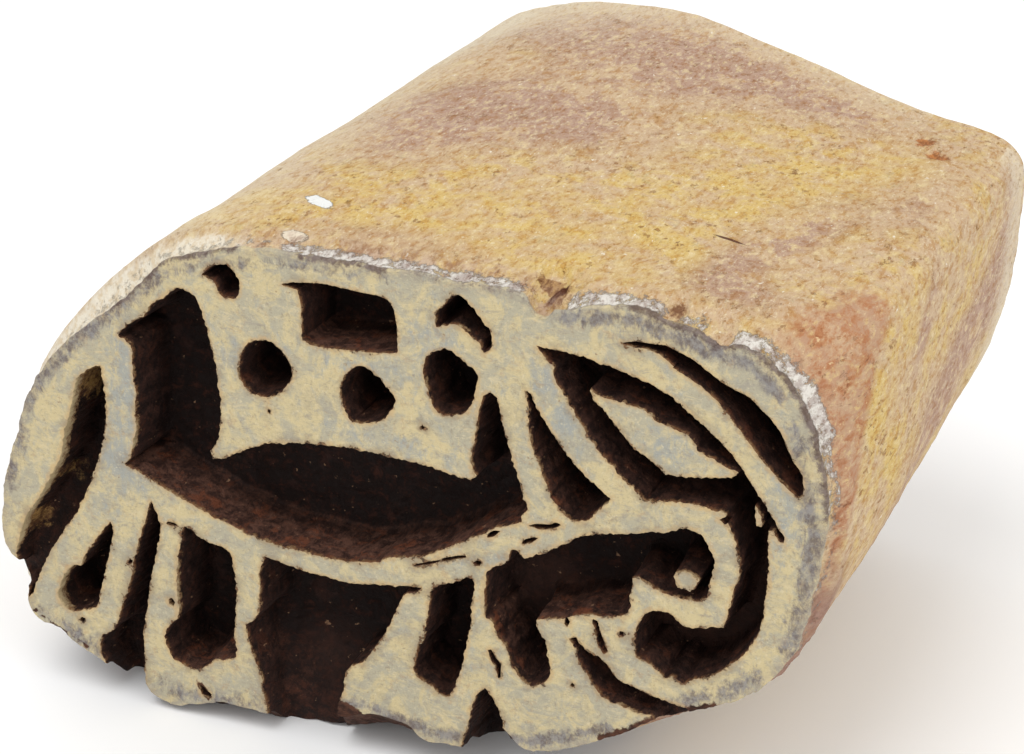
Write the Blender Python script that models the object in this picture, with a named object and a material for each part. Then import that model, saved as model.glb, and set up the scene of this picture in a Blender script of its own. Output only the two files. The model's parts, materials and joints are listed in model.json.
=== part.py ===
"""Carved wooden printing block, elephant motif.

One solid piece of wood.  The outline of the printing face is cut about a
millimetre inside the block, the block runs back from it to an obliquely sawn
back face, and the motif stands as raised lines between recesses.
Units are metres, +Z is up, the printing face looks along -Y.
"""
import math

import bmesh
import bpy
from mathutils import Vector
from mathutils.geometry import tessellate_polygon

MM = 0.001
# ---------------------------------------------------------------------------
# Control points, millimetres, front view of the printing face.
# x runs from the tail (-) to the head (+), z is up, the face lies in y = 0
# and the block runs back along +y.
# ---------------------------------------------------------------------------
REST_Z = -18.7          # height of the flat foot side in the drawing
DEPTH = 4.2             # carving depth below the printing face

# outline of the printing face, from the tail end clockwise over the top
FACE = [(-29.9, -8.5), (-29.8, -6.7), (-29.3, -4.1), (-28.3, -1.2), (-27.2, 1.7),
        (-26.0, 3.8), (-24.5, 5.6), (-22.9, 7.1), (-21.2, 8.4), (-19.6, 9.7),
        (-18.0, 11.2), (-16.6, 12.5), (-14.8, 13.2), (-13.0, 13.8), (-11.2, 14.2),
        (-9.0, 14.3), (-6.8, 14.3), (-4.4, 14.3), (-2.2, 14.2), (0.0, 14.3),
        (2.2, 14.1), (4.4, 14.1), (6.2, 14.0), (7.3, 13.3), (8.8, 13.3),
        (10.2, 13.8), (12.0, 14.1), (13.6, 14.2), (15.2, 13.6), (16.6, 13.4),
        (18.0, 12.8), (19.4, 12.9), (20.8, 12.2), (21.9, 11.3), (22.8, 10.1),
        (23.5, 8.6), (24.0, 6.8), (24.4, 5.0), (24.5, 3.2), (24.3, 1.2),
        (24.0, -0.8), (23.7, -2.8), (23.3, -4.6), (22.4, -6.4), (21.2, -8.0),
        (19.8, -9.1), (18.2, -9.9), (16.8, -10.6), (15.4, -11.2), (13.8, -12.3),
        (12.0, -13.5), (10.0, -14.6), (8.2, -15.3), (6.8, -15.6), (6.0, -15.2),
        (5.2, -14.4), (4.6, -15.0), (3.8, -15.9), (2.8, -16.4), (1.0, -16.5),
        (-0.3, -16.5), (-1.0, -15.8), (-2.2, -15.6), (-3.3, -15.5), (-4.6, -15.9),
        (-6.0, -16.3), (-7.9, -16.1), (-9.0, -16.8), (-10.4, -17.2), (-12.4, -17.2),
        (-14.4, -17.3), (-16.2, -17.8), (-17.6, -18.2), (-18.8, -18.1), (-19.8, -17.3),
        (-20.4, -16.3), (-21.2, -16.2), (-22.0, -16.5), (-23.4, -16.0), (-24.8, -15.3),
        (-26.2, -14.4), (-27.7, -14.0), (-28.4, -12.9), (-28.3, -11.4), (-28.6, -10.2),
        (-29.4, -9.5)]

# sections of the block behind the face; all have the same 35 stations
SEC_NEAR = [(-30.2, -9.0), (-29.8, -5.0), (-28.8, -0.5), (-26.9, 3.8), (-23.9, 7.7),
            (-20.4, 11.1), (-16.8, 13.6), (-12.0, 14.7), (-6.0, 14.8), (0.0, 14.7),
            (5.0, 14.5), (9.6, 14.4), (14.6, 14.5), (18.6, 13.7), (21.2, 12.9),
            (23.0, 11.5), (24.1, 9.6), (24.8, 7.0), (25.2, 3.8), (25.0, 0.4),
            (24.4, -2.8), (23.2, -5.7), (21.3, -8.5), (18.0, -10.6), (14.4, -12.9),
            (10.6, -15.0), (6.4, -15.8), (2.9, -16.9), (-2.4, -17.0), (-7.4, -18.5),
            (-15.0, -18.7), (-20.6, -18.7), (-24.8, -16.5), (-28.0, -14.6), (-29.6, -12.1)]
SEC_MID = [(-30.2, -9.0), (-29.7, -4.9), (-28.6, -0.4), (-26.6, 3.8), (-23.5, 7.7),
           (-20.1, 11.2), (-16.6, 13.9), (-11.8, 14.9), (-5.8, 15.1), (0.0, 15.0),
           (5.0, 14.8), (9.8, 14.6), (14.8, 14.5), (19.2, 14.0), (22.4, 13.5),
           (24.2, 12.5), (25.0, 10.6), (25.3, 7.6), (25.4, 4.0), (25.2, 0.5),
           (24.6, -2.8), (23.3, -5.8), (21.3, -8.6), (18.0, -10.8), (14.4, -13.2),
           (10.4, -15.4), (6.4, -16.6), (2.8, -17.9), (-1.8, -18.2), (-7.6, -18.7),
           (-15.0, -18.7), (-20.8, -18.7), (-24.8, -17.1), (-28.0, -15.0), (-29.6, -12.2)]
SEC_FULL = [(-30.2, -8.9), (-29.7, -4.6), (-28.5, 0.1), (-26.4, 4.4), (-23.2, 8.3),
            (-19.8, 11.6), (-16.4, 14.0), (-11.4, 15.2), (-5.6, 15.5), (0.1, 15.4),
            (5.0, 15.1), (10.0, 14.8), (15.0, 14.4), (19.6, 14.0), (23.2, 13.7),
            (25.1, 13.0), (25.7, 11.4), (25.8, 8.1), (25.8, 4.2), (25.6, 0.6),
            (24.8, -2.7), (23.3, -5.9), (21.1, -8.7), (17.8, -11.2), (14.2, -13.5),
            (10.2, -15.7), (6.2, -17.2), (2.7, -18.3), (-1.0, -18.7), (-8.0, -18.7),
            (-15.0, -18.7), (-20.8, -18.7), (-24.8, -17.6), (-27.8, -15.4), (-29.6, -12.5)]
SEC_BACK = [(-29.6, -8.5), (-29.2, -3.6), (-27.9, 1.6), (-25.4, 6.2), (-22.2, 10.0),
            (-18.6, 13.0), (-14.8, 15.4), (-9.8, 17.1), (-4.4, 17.8), (0.5, 17.9),
            (5.0, 17.2), (10.0, 16.4), (15.0, 15.3), (19.6, 14.5), (23.3, 14.2),
            (25.7, 13.6), (26.7, 12.3), (26.9, 8.9), (26.7, 4.9), (26.0, 1.1),
            (24.9, -2.4), (23.1, -5.9), (20.8, -9.0), (17.4, -11.7), (13.6, -14.0),
            (9.8, -16.1), (6.0, -17.5), (2.5, -18.4), (-1.0, -18.7), (-8.0, -18.7),
            (-15.0, -18.7), (-20.8, -18.7), (-24.6, -18.0), (-27.4, -15.8), (-29.0, -12.6)]
# face station -> section station, so the two outlines are sampled together
LANDMARKS = [((-29.9, -8.5), 0), ((-27.2, 1.7), 2), ((-21.2, 8.4), 4), ((-14.8, 13.2), 6),
             ((-4.4, 14.3), 8), ((6.2, 14.0), 10), ((15.2, 13.6), 12), ((20.8, 12.2), 14),
             ((23.5, 8.6), 16), ((24.5, 3.2), 18), ((23.7, -2.8), 20), ((21.2, -8.0), 22),
             ((15.4, -11.2), 24), ((8.2, -15.3), 26), ((1.0, -16.5), 28), ((-7.9, -16.1), 29),
             ((-14.4, -17.3), 30), ((-20.4, -16.3), 31), ((-24.8, -15.3), 32),
             ((-27.7, -14.0), 33), ((-28.3, -11.4), 34)]
BACK_X, BACK_Y, BACK_SLOPE = 25.0, 40.0, 0.325      # back face: y = 40 + 0.325 * (25 - x)

# recesses: name, opening outline, islands, (x, z, depth) at the deep and the
# shallow end of a sloping floor (or None for a level one)
SADDLE_AND_BELLY = [
    (-20.0, 7.3), (-19.4, 8.0), (-18.8, 8.4), (-18.0, 8.9), (-17.4, 9.8), (-16.5, 10.3),
    (-15.8, 10.9), (-15.0, 10.9), (-14.5, 10.5), (-14.1, 9.6), (-13.8, 8.5), (-13.5, 7.0),
    (-13.3, 5.5), (-13.2, 3.5), (-13.4, 2.0), (-13.7, 1.1), (-14.1, 0.6), (-13.9, 0.1),
    (-13.2, 0.2), (-12.0, 0.9), (-11.0, 1.4), (-10.0, 1.8), (-8.0, 2.2), (-6.0, 2.4),
    (-4.0, 2.5), (-2.0, 2.4), (0.0, 2.3), (1.5, 2.1), (3.0, 1.9), (3.6, 2.2),
    (3.3, 3.2), (3.5, 4.2), (3.7, 5.5), (3.9, 6.6), (4.1, 7.4), (4.5, 7.6), (4.9, 7.3),
    (5.3, 5.6), (5.6, 4.5), (6.0, 3.2), (6.4, 1.9), (6.8, 0.7), (6.5, 0.3), (6.4, -0.2),
    (5.4, -0.6), (4.6, -1.0), (3.7, -1.6), (3.0, -2.0), (2.0, -2.6), (1.0, -3.2),
    (0.0, -3.7), (-1.0, -4.0), (-2.0, -4.2), (-3.0, -4.7), (-4.0, -4.9), (-5.0, -5.1),
    (-6.5, -5.1), (-8.0, -5.0), (-10.0, -4.9), (-11.0, -4.7), (-12.0, -4.5), (-13.0, -4.1),
    (-14.0, -3.9), (-15.0, -3.5), (-16.0, -3.1), (-17.0, -2.7), (-18.0, -2.3),
    (-19.0, -1.8), (-20.2, -1.4), (-19.7, -0.8), (-19.5, 0.2), (-19.2, 1.2), (-19.2, 2.4),
    (-19.0, 3.5), (-19.2, 5.0), (-19.1, 6.2), (-19.3, 6.9)]
TAIL_GAP = [
    (-21.5, 5.0), (-21.3, 3.0), (-21.4, 1.5), (-21.7, 0.0), (-22.0, -1.0), (-22.4, -2.0),
    (-23.0, -3.4), (-24.0, -5.3), (-25.0, -6.8), (-26.0, -8.2), (-26.8, -9.6),
    (-27.4, -10.8), (-28.0, -12.1), (-28.3, -12.5), (-28.2, -11.7), (-32.0, -11.4),
    (-32.0, -10.2), (-28.8, -10.1), (-28.9, -9.2), (-28.5, -7.9), (-27.9, -6.5), (-26.8, -5.0), (-25.8, -3.3),
    (-24.9, -1.7), (-24.5, 0.0), (-24.0, 1.3), (-23.6, 2.6), (-23.3, 3.7), (-22.5, 4.5)]
SADDLE_CORNER_HOLE = [
    (-13.9, 12.1), (-13.3, 12.7), (-12.3, 13.0), (-11.9, 12.7), (-11.5, 12.1),
    (-11.5, 11.6), (-11.7, 11.1), (-12.2, 10.9), (-12.8, 11.0), (-13.0, 11.6), (-13.3, 11.9)]
SADDLE_WINDOW = [
    (-8.6, 12.3), (-7.8, 12.5), (-7.0, 12.6), (-6.0, 12.7), (-4.5, 12.6), (-3.0, 12.5),
    (-2.0, 12.4), (-1.6, 12.0), (-1.4, 11.4), (-1.3, 10.4), (-1.3, 9.2), (-2.5, 9.0),
    (-4.0, 8.9), (-5.5, 8.8), (-6.9, 8.8), (-7.4, 9.1), (-7.4, 10.2), (-7.4, 11.2),
    (-7.6, 12.1)]
SADDLE_CRESCENT = [
    (1.2, 11.2), (1.2, 12.0), (1.7, 12.6), (2.1, 13.1), (2.5, 13.3), (3.0, 13.1),
    (3.4, 12.7), (3.9, 12.1), (4.4, 11.5), (4.6, 10.9), (4.5, 10.4), (4.1, 10.1),
    (3.9, 10.6), (3.5, 10.9), (2.9, 11.3), (2.3, 11.6), (1.8, 11.4)]
ROUND_LEFT = [
    (-11.8, 6.0), (-11.7, 6.8), (-11.5, 7.5), (-11.0, 8.2), (-10.3, 8.5), (-9.6, 8.5),
    (-8.9, 8.1), (-8.4, 7.4), (-8.2, 6.8), (-8.4, 6.2), (-8.9, 5.5), (-9.5, 5.1),
    (-10.2, 4.9), (-10.9, 5.0), (-11.5, 5.5)]
ROUND_MIDDLE = [
    (-5.0, 6.0), (-4.9, 6.8), (-4.5, 7.4), (-3.9, 7.9), (-3.4, 7.9), (-2.7, 7.5),
    (-2.0, 6.9), (-1.5, 6.2), (-1.7, 5.6), (-2.2, 4.9), (-3.0, 4.5), (-3.8, 4.3),
    (-4.3, 4.3), (-4.7, 4.9)]
ROUND_RIGHT = [
    (0.4, 8.6), (0.6, 9.2), (1.2, 9.7), (1.8, 9.9), (2.4, 9.6), (3.0, 9.2), (3.6, 8.8),
    (3.7, 8.3), (3.5, 7.5), (3.3, 6.7), (2.7, 6.0), (1.9, 5.8), (1.3, 5.8), (0.9, 6.3),
    (0.6, 7.2), (0.4, 8.0)]
NECK_GAP = [
    (6.7, 8.1), (7.0, 8.0), (7.2, 7.4), (7.6, 6.8), (8.0, 6.2), (8.6, 5.4), (9.3, 4.5),
    (10.0, 3.8), (10.8, 3.1), (11.9, 2.3), (11.5, 1.9), (11.0, 1.3), (10.4, 0.7),
    (9.8, 0.5), (9.0, 0.9), (8.6, 1.4), (8.2, 2.1), (7.7, 3.3), (7.3, 4.3), (7.0, 5.2),
    (6.9, 6.2), (6.9, 7.2)]
EAR_AND_TRUNK = [
    (7.4, 11.0), (8.2, 10.9), (9.0, 10.9), (10.0, 10.8), (11.0, 10.6), (12.0, 10.4),
    (13.0, 10.1), (14.0, 9.8), (15.0, 9.4), (15.7, 9.0), (16.3, 8.5), (17.0, 8.0),
    (18.0, 7.2), (18.7, 6.6), (19.3, 5.9), (19.9, 5.1), (20.5, 4.3), (21.0, 3.6),
    (21.5, 2.8), (22.1, 1.9), (22.1, 1.6), (21.8, 1.7), (21.5, 2.3), (21.2, 2.2),
    (21.2, 1.2), (21.3, 0.0), (21.3, -1.0), (21.2, -2.0), (21.1, -3.4), (20.9, -4.4),
    (20.5, -5.2), (20.0, -6.0), (19.3, -6.8), (18.6, -7.5), (18.0, -7.9), (17.2, -8.2),
    (16.6, -8.6), (15.9, -8.4), (15.4, -8.5), (14.9, -8.1), (14.3, -7.7), (13.7, -7.5),
    (13.6, -6.8), (13.6, -6.0), (13.8, -5.3), (14.2, -4.6), (14.8, -4.3), (15.4, -4.2),
    (15.9, -4.5), (16.4, -4.9), (17.0, -4.9), (18.0, -4.7), (18.9, -4.5), (19.1, -3.6),
    (19.3, -2.8), (19.4, -2.0), (19.6, -1.2), (19.7, -0.4), (19.5, 0.6), (19.2, 1.5),
    (18.8, 2.3), (18.8, 2.8), (17.6, 2.9), (16.6, 3.0), (15.6, 2.9), (14.8, 2.8),
    (14.0, 2.6), (13.4, 3.2), (12.6, 3.8), (12.0, 4.4), (11.4, 5.0), (10.8, 5.7),
    (10.1, 6.7), (9.5, 7.6), (9.2, 8.2), (8.7, 8.8), (8.4, 9.4), (8.4, 9.9), (8.0, 10.3)]
EAR_LEAF = [
    (10.6, 8.9), (11.2, 8.6), (12.0, 8.5), (12.8, 8.4), (13.8, 8.2), (14.6, 7.7),
    (15.6, 7.4), (16.5, 7.1), (17.0, 6.4), (18.0, 5.9), (18.8, 5.6), (19.4, 5.4),
    (19.0, 5.0), (18.2, 4.8), (17.0, 4.6), (16.0, 4.5), (15.2, 4.5), (14.6, 4.9),
    (13.8, 5.4), (13.0, 5.9), (12.4, 6.6), (11.7, 7.4), (11.1, 8.0), (10.7, 8.4)]
EAR_SLIVER = [(20.4, 3.6), (20.7, 3.1), (20.9, 2.6), (20.8, 2.3), (20.5, 2.3), (20.4, 2.8)]
UNDER_TRUNK = [
    (4.3, -4.0), (5.0, -3.4), (5.6, -3.0), (5.8, -2.2), (6.2, -2.2), (6.6, -2.6),
    (7.2, -2.3), (8.0, -1.9), (8.7, -1.4), (9.5, -0.9), (10.2, -0.4), (11.2, -0.1),
    (12.4, 0.2), (13.4, 0.4), (14.4, 0.7), (15.4, 0.9), (16.0, 1.2), (16.8, 1.3),
    (17.3, 1.1), (17.7, 0.6), (18.0, 0.0), (18.2, -0.6), (18.0, -1.3), (17.9, -2.0),
    (17.8, -2.7), (17.3, -3.0), (16.5, -3.1), (15.6, -3.0), (14.9, -2.9), (14.3, -2.6),
    (13.7, -2.3), (13.3, -2.4), (13.2, -3.4), (13.2, -4.2), (13.0, -4.8), (12.4, -5.1),
    (11.4, -5.3), (10.4, -5.4), (9.6, -5.7), (9.0, -6.0), (8.0, -6.2), (7.4, -6.4),
    (7.4, -6.9), (7.7, -7.4), (8.0, -8.0), (8.1, -8.8), (8.3, -9.5), (8.2, -10.2),
    (7.7, -10.7), (7.1, -11.0), (6.6, -10.8), (6.1, -10.2), (5.8, -9.7), (5.7, -9.1),
    (5.4, -8.6), (5.0, -8.2), (4.8, -7.6), (4.6, -7.1), (4.2, -7.0), (4.1, -6.4),
    (4.1, -5.6), (4.2, -4.8)]
TRUNK_ISLAND = [(15.9, -1.5), (16.6, -1.4), (17.3, -1.7), (17.2, -2.2), (16.8, -2.6),
                (16.0, -2.5), (15.8, -2.0)]
FRONT_LEG = [
    (0.6, -6.1), (1.0, -5.6), (1.7, -5.3), (2.3, -5.0), (2.9, -4.6), (3.3, -4.6),
    (3.4, -5.0), (3.3, -5.8), (3.2, -6.6), (3.2, -7.6), (3.0, -8.4), (2.8, -9.4),
    (2.6, -10.4), (2.3, -11.5), (2.0, -12.4), (1.7, -13.0), (1.1, -13.0), (0.6, -12.6),
    (0.0, -12.3), (-0.5, -11.9), (-0.6, -11.4), (-0.4, -10.8), (-0.3, -10.0),
    (0.1, -9.4), (0.2, -8.5), (0.4, -7.8), (0.5, -7.0)]
LEG_GAP = [
    (-10.6, -6.0), (-9.2, -6.2), (-8.0, -6.4), (-6.5, -6.5), (-5.0, -6.6), (-4.0, -6.5),
    (-3.0, -6.3), (-2.0, -6.2), (-1.0, -6.0), (0.0, -5.9), (-0.5, -6.3), (-1.1, -6.5),
    (-1.5, -7.2), (-1.9, -8.1), (-2.3, -9.0), (-2.8, -10.0), (-3.4, -10.9), (-4.1, -11.9),
    (-4.9, -12.4), (-5.4, -13.2), (-5.5, -14.2), (-5.8, -15.0), (-6.0, -16.0),
    (-6.2, -21.0), (-10.9, -21.0), (-10.9, -17.0), (-11.1, -16.0), (-11.2, -15.0),
    (-11.4, -14.0), (-11.8, -13.0), (-12.0, -12.0), (-12.2, -11.1), (-11.6, -10.6),
    (-11.1, -9.8), (-11.1, -9.0), (-11.0, -8.0), (-11.0, -7.0)]
HIND_GAP = [
    (-18.5, -3.7), (-18.3, -4.2), (-18.1, -4.7), (-18.0, -5.4), (-18.1, -6.0),
    (-18.3, -7.0), (-18.6, -8.0), (-18.9, -9.0), (-19.1, -10.0), (-19.3, -11.0),
    (-19.5, -12.0), (-19.7, -13.0), (-19.8, -14.0), (-19.8, -15.0), (-19.9, -16.2),
    (-20.0, -21.0), (-22.6, -21.0), (-22.7, -16.3), (-23.0, -15.6), (-23.0, -14.7),
    (-22.7, -14.1), (-22.1, -13.7), (-21.6, -13.0), (-21.3, -12.0), (-20.9, -11.0),
    (-20.5, -10.0), (-20.2, -9.0), (-20.0, -8.0), (-19.7, -7.2), (-19.5, -6.4),
    (-19.3, -5.8), (-19.0, -5.2), (-18.8, -4.5)]
HIND_LEG = [
    (-16.2, -5.0), (-15.7, -5.1), (-15.3, -5.5), (-14.5, -5.8), (-13.6, -5.9),
    (-13.0, -6.3), (-12.9, -7.0), (-12.8, -8.0), (-12.8, -9.0), (-12.9, -10.0),
    (-13.0, -11.0), (-13.1, -12.0), (-13.0, -13.0), (-13.1, -13.6), (-13.8, -13.9),
    (-14.6, -14.1), (-15.1, -14.6), (-15.7, -15.0), (-16.4, -15.1), (-17.0, -14.9),
    (-17.6, -14.6), (-17.9, -14.1), (-18.1, -13.5), (-18.0, -12.8), (-17.6, -12.2),
    (-17.2, -11.8), (-17.0, -11.2), (-17.0, -10.4), (-17.0, -9.4), (-16.9, -8.2),
    (-16.7, -7.0), (-16.5, -6.2), (-16.4, -5.4)]
REAR_FOOT = [
    (-21.6, -5.7), (-21.5, -6.3), (-21.6, -7.0), (-21.9, -8.0), (-22.2, -9.0),
    (-22.5, -10.0), (-22.8, -11.0), (-23.0, -11.8), (-23.5, -12.3), (-24.1, -12.5),
    (-24.7, -12.8), (-25.3, -12.8), (-25.8, -12.4), (-26.0, -11.8), (-25.8, -11.1),
    (-25.5, -10.5), (-25.1, -9.9), (-24.7, -9.5), (-24.1, -9.3), (-23.7, -8.6),
    (-23.2, -7.8), (-22.7, -7.1), (-22.2, -6.5)]
EAR_RIM = [
    (12.5, 12.0), (13.2, 12.2), (14.2, 12.2), (15.0, 12.2), (15.8, 11.9), (16.6, 11.6),
    (17.2, 11.2), (18.0, 10.7), (18.8, 10.3), (19.7, 10.0), (20.4, 9.4), (21.0, 8.9),
    (21.6, 8.2), (22.0, 7.4), (22.4, 6.6), (22.9, 5.9), (23.0, 5.2), (23.0, 4.7),
    (22.8, 4.5), (22.4, 4.8), (21.9, 5.2), (21.3, 5.8), (20.7, 6.4), (20.1, 7.1),
    (19.5, 7.8), (18.9, 8.5), (18.3, 9.2), (17.6, 9.8), (17.0, 10.2), (16.3, 10.6),
    (15.7, 10.9), (15.2, 11.3), (14.6, 11.7), (13.8, 11.9), (13.0, 11.9)]
CHIN_GROOVE = [
    (9.5, -7.3), (9.9, -7.1), (10.3, -7.6), (10.8, -8.0), (11.3, -8.1), (11.9, -8.6),
    (12.4, -9.2), (13.0, -9.5), (13.8, -9.7), (14.6, -9.9), (15.4, -10.1), (16.2, -10.2),
    (17.0, -10.4), (18.6, -12.6), (16.6, -13.6), (14.6, -11.2), (13.6, -11.2),
    (12.8, -11.0), (12.2, -10.9), (11.5, -10.6), (11.0, -9.9), (10.6, -9.3),
    (10.1, -8.6), (10.0, -8.0)]
CHIN_SLIT = [(11.0, -5.7), (11.2, -5.8), (11.4, -6.4), (11.7, -7.1), (11.9, -7.6),
             (11.7, -7.8), (11.4, -7.4), (11.2, -6.8), (11.1, -6.3)]
FOOT_NOTCH = [(4.1, -11.9), (4.6, -12.6), (5.0, -13.4), (5.2, -14.2), (5.6, -21.0),
              (2.6, -21.0), (2.6, -15.9), (2.9, -15.1), (3.1, -14.4), (3.2, -13.6),
              (3.4, -12.9), (3.7, -12.3)]

RECESSES = [
    ("saddle_and_belly", SADDLE_AND_BELLY, [], None),
    ("tail_gap", TAIL_GAP, [], ((-23.0, -1.0, 4.0), (-29.2, -10.2, 1.7))),
    ("saddle_corner_hole", SADDLE_CORNER_HOLE, [], None),
    ("saddle_window", SADDLE_WINDOW, [], None),
    ("saddle_crescent", SADDLE_CRESCENT, [], None),
    ("round_left", ROUND_LEFT, [], None),
    ("round_middle", ROUND_MIDDLE, [], None),
    ("round_right", ROUND_RIGHT, [], None),
    ("neck_gap", NECK_GAP, [], None),
    ("ear_and_trunk", EAR_AND_TRUNK, [EAR_LEAF, EAR_SLIVER], None),
    ("under_trunk", UNDER_TRUNK, [TRUNK_ISLAND], None),
    ("front_leg", FRONT_LEG, [], None),
    ("leg_gap", LEG_GAP, [], ((-8.0, -12.0, 4.2), (-10.5, -17.0, 2.4))),
    ("hind_gap", HIND_GAP, [], ((-19.0, -9.0, 4.0), (-21.4, -16.4, 3.3))),
    ("hind_leg", HIND_LEG, [], None),
    ("rear_foot", REAR_FOOT, [], None),
    ("ear_rim", EAR_RIM, [], None),
    ("chin_groove", CHIN_GROOVE, [], ((11.0, -8.6, 3.4), (16.0, -10.9, 1.7))),
    ("chin_slit", CHIN_SLIT, [], None),
    ("foot_notch", FOOT_NOTCH, [], None),
]
# rings of the body, front to back: (y, section); FACE rings first
BEVEL_Y = 0.5           # straight edge of the printing face
NEAR_Y = 2.2            # the block is full size around the face here
MID_Y = 5.0
FULL_Y = 10.0
BACK_ROUND = 1.2        # softened back edge
SAMPLES = 5             # samples per section station
CENTRE_X = -1.65        # drawing position of the centre of the block
CENTRE_Y = 28.7


def clear_scene():
    for ob in list(bpy.data.objects):
        bpy.data.objects.remove(ob, do_unlink=True)


def hermite(p0, p1, m0, m1, t):
    t2, t3 = t * t, t * t * t
    a, b = 2 * t3 - 3 * t2 + 1, t3 - 2 * t2 + t
    c, d = -2 * t3 + 3 * t2, t3 - t2
    return (a * p0[0] + b * m0[0] + c * p1[0] + d * m1[0],
            a * p0[1] + b * m0[1] + c * p1[1] + d * m1[1])


def smooth_closed(points, per_span, corner_deg=48.0):
    """Closed curve through the points; sharp turns stay corners."""
    n = len(points)
    out = []
    keep = []
    for i in range(n):
        a, b, c = points[i - 1], points[i], points[(i + 1) % n]
        t = (math.atan2(c[1] - b[1], c[0] - b[0])
             - math.atan2(b[1] - a[1], b[0] - a[0]))
        t = (t + math.pi) % (2 * math.pi) - math.pi
        keep.append(abs(math.degrees(t)) > corner_deg)
    for i in range(n):
        p0, p1 = points[i], points[(i + 1) % n]
        chord = (p1[0] - p0[0], p1[1] - p0[1])
        length = math.hypot(*chord)

        def tangent(k):
            if keep[k]:
                return chord
            a, b = points[k - 1], points[(k + 1) % n]
            v = (b[0] - a[0], b[1] - a[1])
            s = length / max(1e-9, math.hypot(*v))
            return (v[0] * s, v[1] * s)
        m0, m1 = tangent(i), tangent((i + 1) % n)
        for j in range(per_span):
            out.append(hermite(p0, p1, m0, m1, j / per_span))
    return out


def resample(path, count):
    """Even samples along an open path, its end point left out."""
    acc = [0.0]
    for a, b in zip(path[:-1], path[1:]):
        acc.append(acc[-1] + math.dist(a, b))
    out, k = [], 0
    for j in range(count):
        s = acc[-1] * j / count
        while acc[k + 1] < s:
            k += 1
        f = (s - acc[k]) / max(1e-9, acc[k + 1] - acc[k])
        out.append((path[k][0] + f * (path[k + 1][0] - path[k][0]),
                    path[k][1] + f * (path[k + 1][1] - path[k][1])))
    return out


def face_ring():
    fine = 4
    curve = smooth_closed(FACE, fine)
    total = len(SEC_NEAR)
    ring = []
    for i, (point, station) in enumerate(LANDMARKS):
        nxt_point, nxt_station = LANDMARKS[(i + 1) % len(LANDMARKS)]
        a = FACE.index(point) * fine
        b = FACE.index(nxt_point) * fine
        if b <= a:
            b += len(curve)
        span = (nxt_station - station) % total
        path = [curve[k % len(curve)] for k in range(a, b + 1)]
        ring += resample(path, span * SAMPLES)
    return ring


def mix(a, b, t):
    return [(p[0] + (q[0] - p[0]) * t, p[1] + (q[1] - p[1]) * t) for p, q in zip(a, b)]


def back_y(x):
    return BACK_Y + BACK_SLOPE * (BACK_X - x)


def inset(ring, d):
    n = len(ring)
    out = []
    for i in range(n):
        a, b = ring[i - 2], ring[(i + 2) % n]
        tx, tz = b[0] - a[0], b[1] - a[1]
        s = math.hypot(tx, tz)
        out.append((ring[i][0] + d * tz / s, ring[i][1] - d * tx / s))
    return out


def body_rings():
    face = face_ring()
    near, mid, full, back = (smooth_closed(s, SAMPLES, 75.0)
                             for s in (SEC_NEAR, SEC_MID, SEC_FULL, SEC_BACK))
    rings = [[(x, 0.0, z) for x, z in face],
             [(x, BEVEL_Y, z) for x, z in mix(face, near, 0.12)],
             [(x, 0.5 * (BEVEL_Y + NEAR_Y), z) for x, z in mix(face, near, 0.66)],
             [(x, NEAR_Y, z) for x, z in near],
             [(x, MID_Y, z) for x, z in mid],
             [(x, FULL_Y, z) for x, z in full]]
    for t in (0.35, 0.7):
        ring = mix(full, back, t)
        rings.append([(x, FULL_Y + (back_y(x) - FULL_Y) * t, z) for x, z in ring])
    r = BACK_ROUND
    for angle in (0, 45, 90):
        a = math.radians(angle)
        ring = inset(back, r * (1 - math.cos(a)))
        rings.append([(x, back_y(x) - r + r * math.sin(a), z) for x, z in ring])
    # the foot side is planed flat
    return [[(x, y, max(z, REST_Z)) for x, y, z in ring] for ring in rings]


def mesh_object(name, verts, faces):
    me = bpy.data.meshes.new(name)
    me.from_pydata([Vector((x * MM, y * MM, z * MM)) for x, y, z in verts], [], faces)
    me.validate()
    bm = bmesh.new()
    bm.from_mesh(me)
    bmesh.ops.recalc_face_normals(bm, faces=bm.faces)
    bm.to_mesh(me)
    bm.free()
    ob = bpy.data.objects.new(name, me)
    bpy.context.scene.collection.objects.link(ob)
    return ob


def place(x, y, z):
    return (x - CENTRE_X, y - CENTRE_Y, z - REST_Z)


def build_body():
    rings = body_rings()
    n = len(rings[0])
    verts = [place(*p) for ring in rings for p in ring]
    faces = []
    for k in range(len(rings) - 1):
        for i in range(n):
            j = (i + 1) % n
            faces.append((k * n + i, k * n + j, (k + 1) * n + j, (k + 1) * n + i))
    for k in (0, len(rings) - 1):
        cap = tessellate_polygon([[Vector((p[0], p[2], 0)) for p in rings[k]]])
        faces += [tuple(k * n + i for i in tri) for tri in cap]
    return mesh_object("carved_block", verts, faces)


def floor_depth(slope, x, z):
    if slope is None:
        return DEPTH
    (ax, az, ad), (bx, bz, bd) = slope
    dx, dz = bx - ax, bz - az
    t = ((x - ax) * dx + (z - az) * dz) / (dx * dx + dz * dz)
    return ad + (bd - ad) * min(1.0, max(0.0, t))


def build_cutter(name, outline, islands, slope):
    loops = [smooth_closed(outline, 2)] + [smooth_closed(i, 2) for i in islands]
    flat = [p for loop in loops for p in loop]
    n = len(flat)
    verts = [place(x, -1.0, z) for x, z in flat]
    verts += [place(x, floor_depth(slope, x, z), z) for x, z in flat]
    faces = []
    start = 0
    for loop in loops:
        m = len(loop)
        for i in range(m):
            a, b = start + i, start + (i + 1) % m
            faces.append((a, b, n + b, n + a))
        start += m
    cap = tessellate_polygon([[Vector((x, z, 0)) for x, z in loop] for loop in loops])
    for tri in cap:
        faces.append(tuple(tri))
        faces.append(tuple(n + i for i in tri))
    ob = mesh_object("cut_" + name, verts, faces)
    ob.hide_render = True
    ob.display_type = "WIRE"
    return ob


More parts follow.
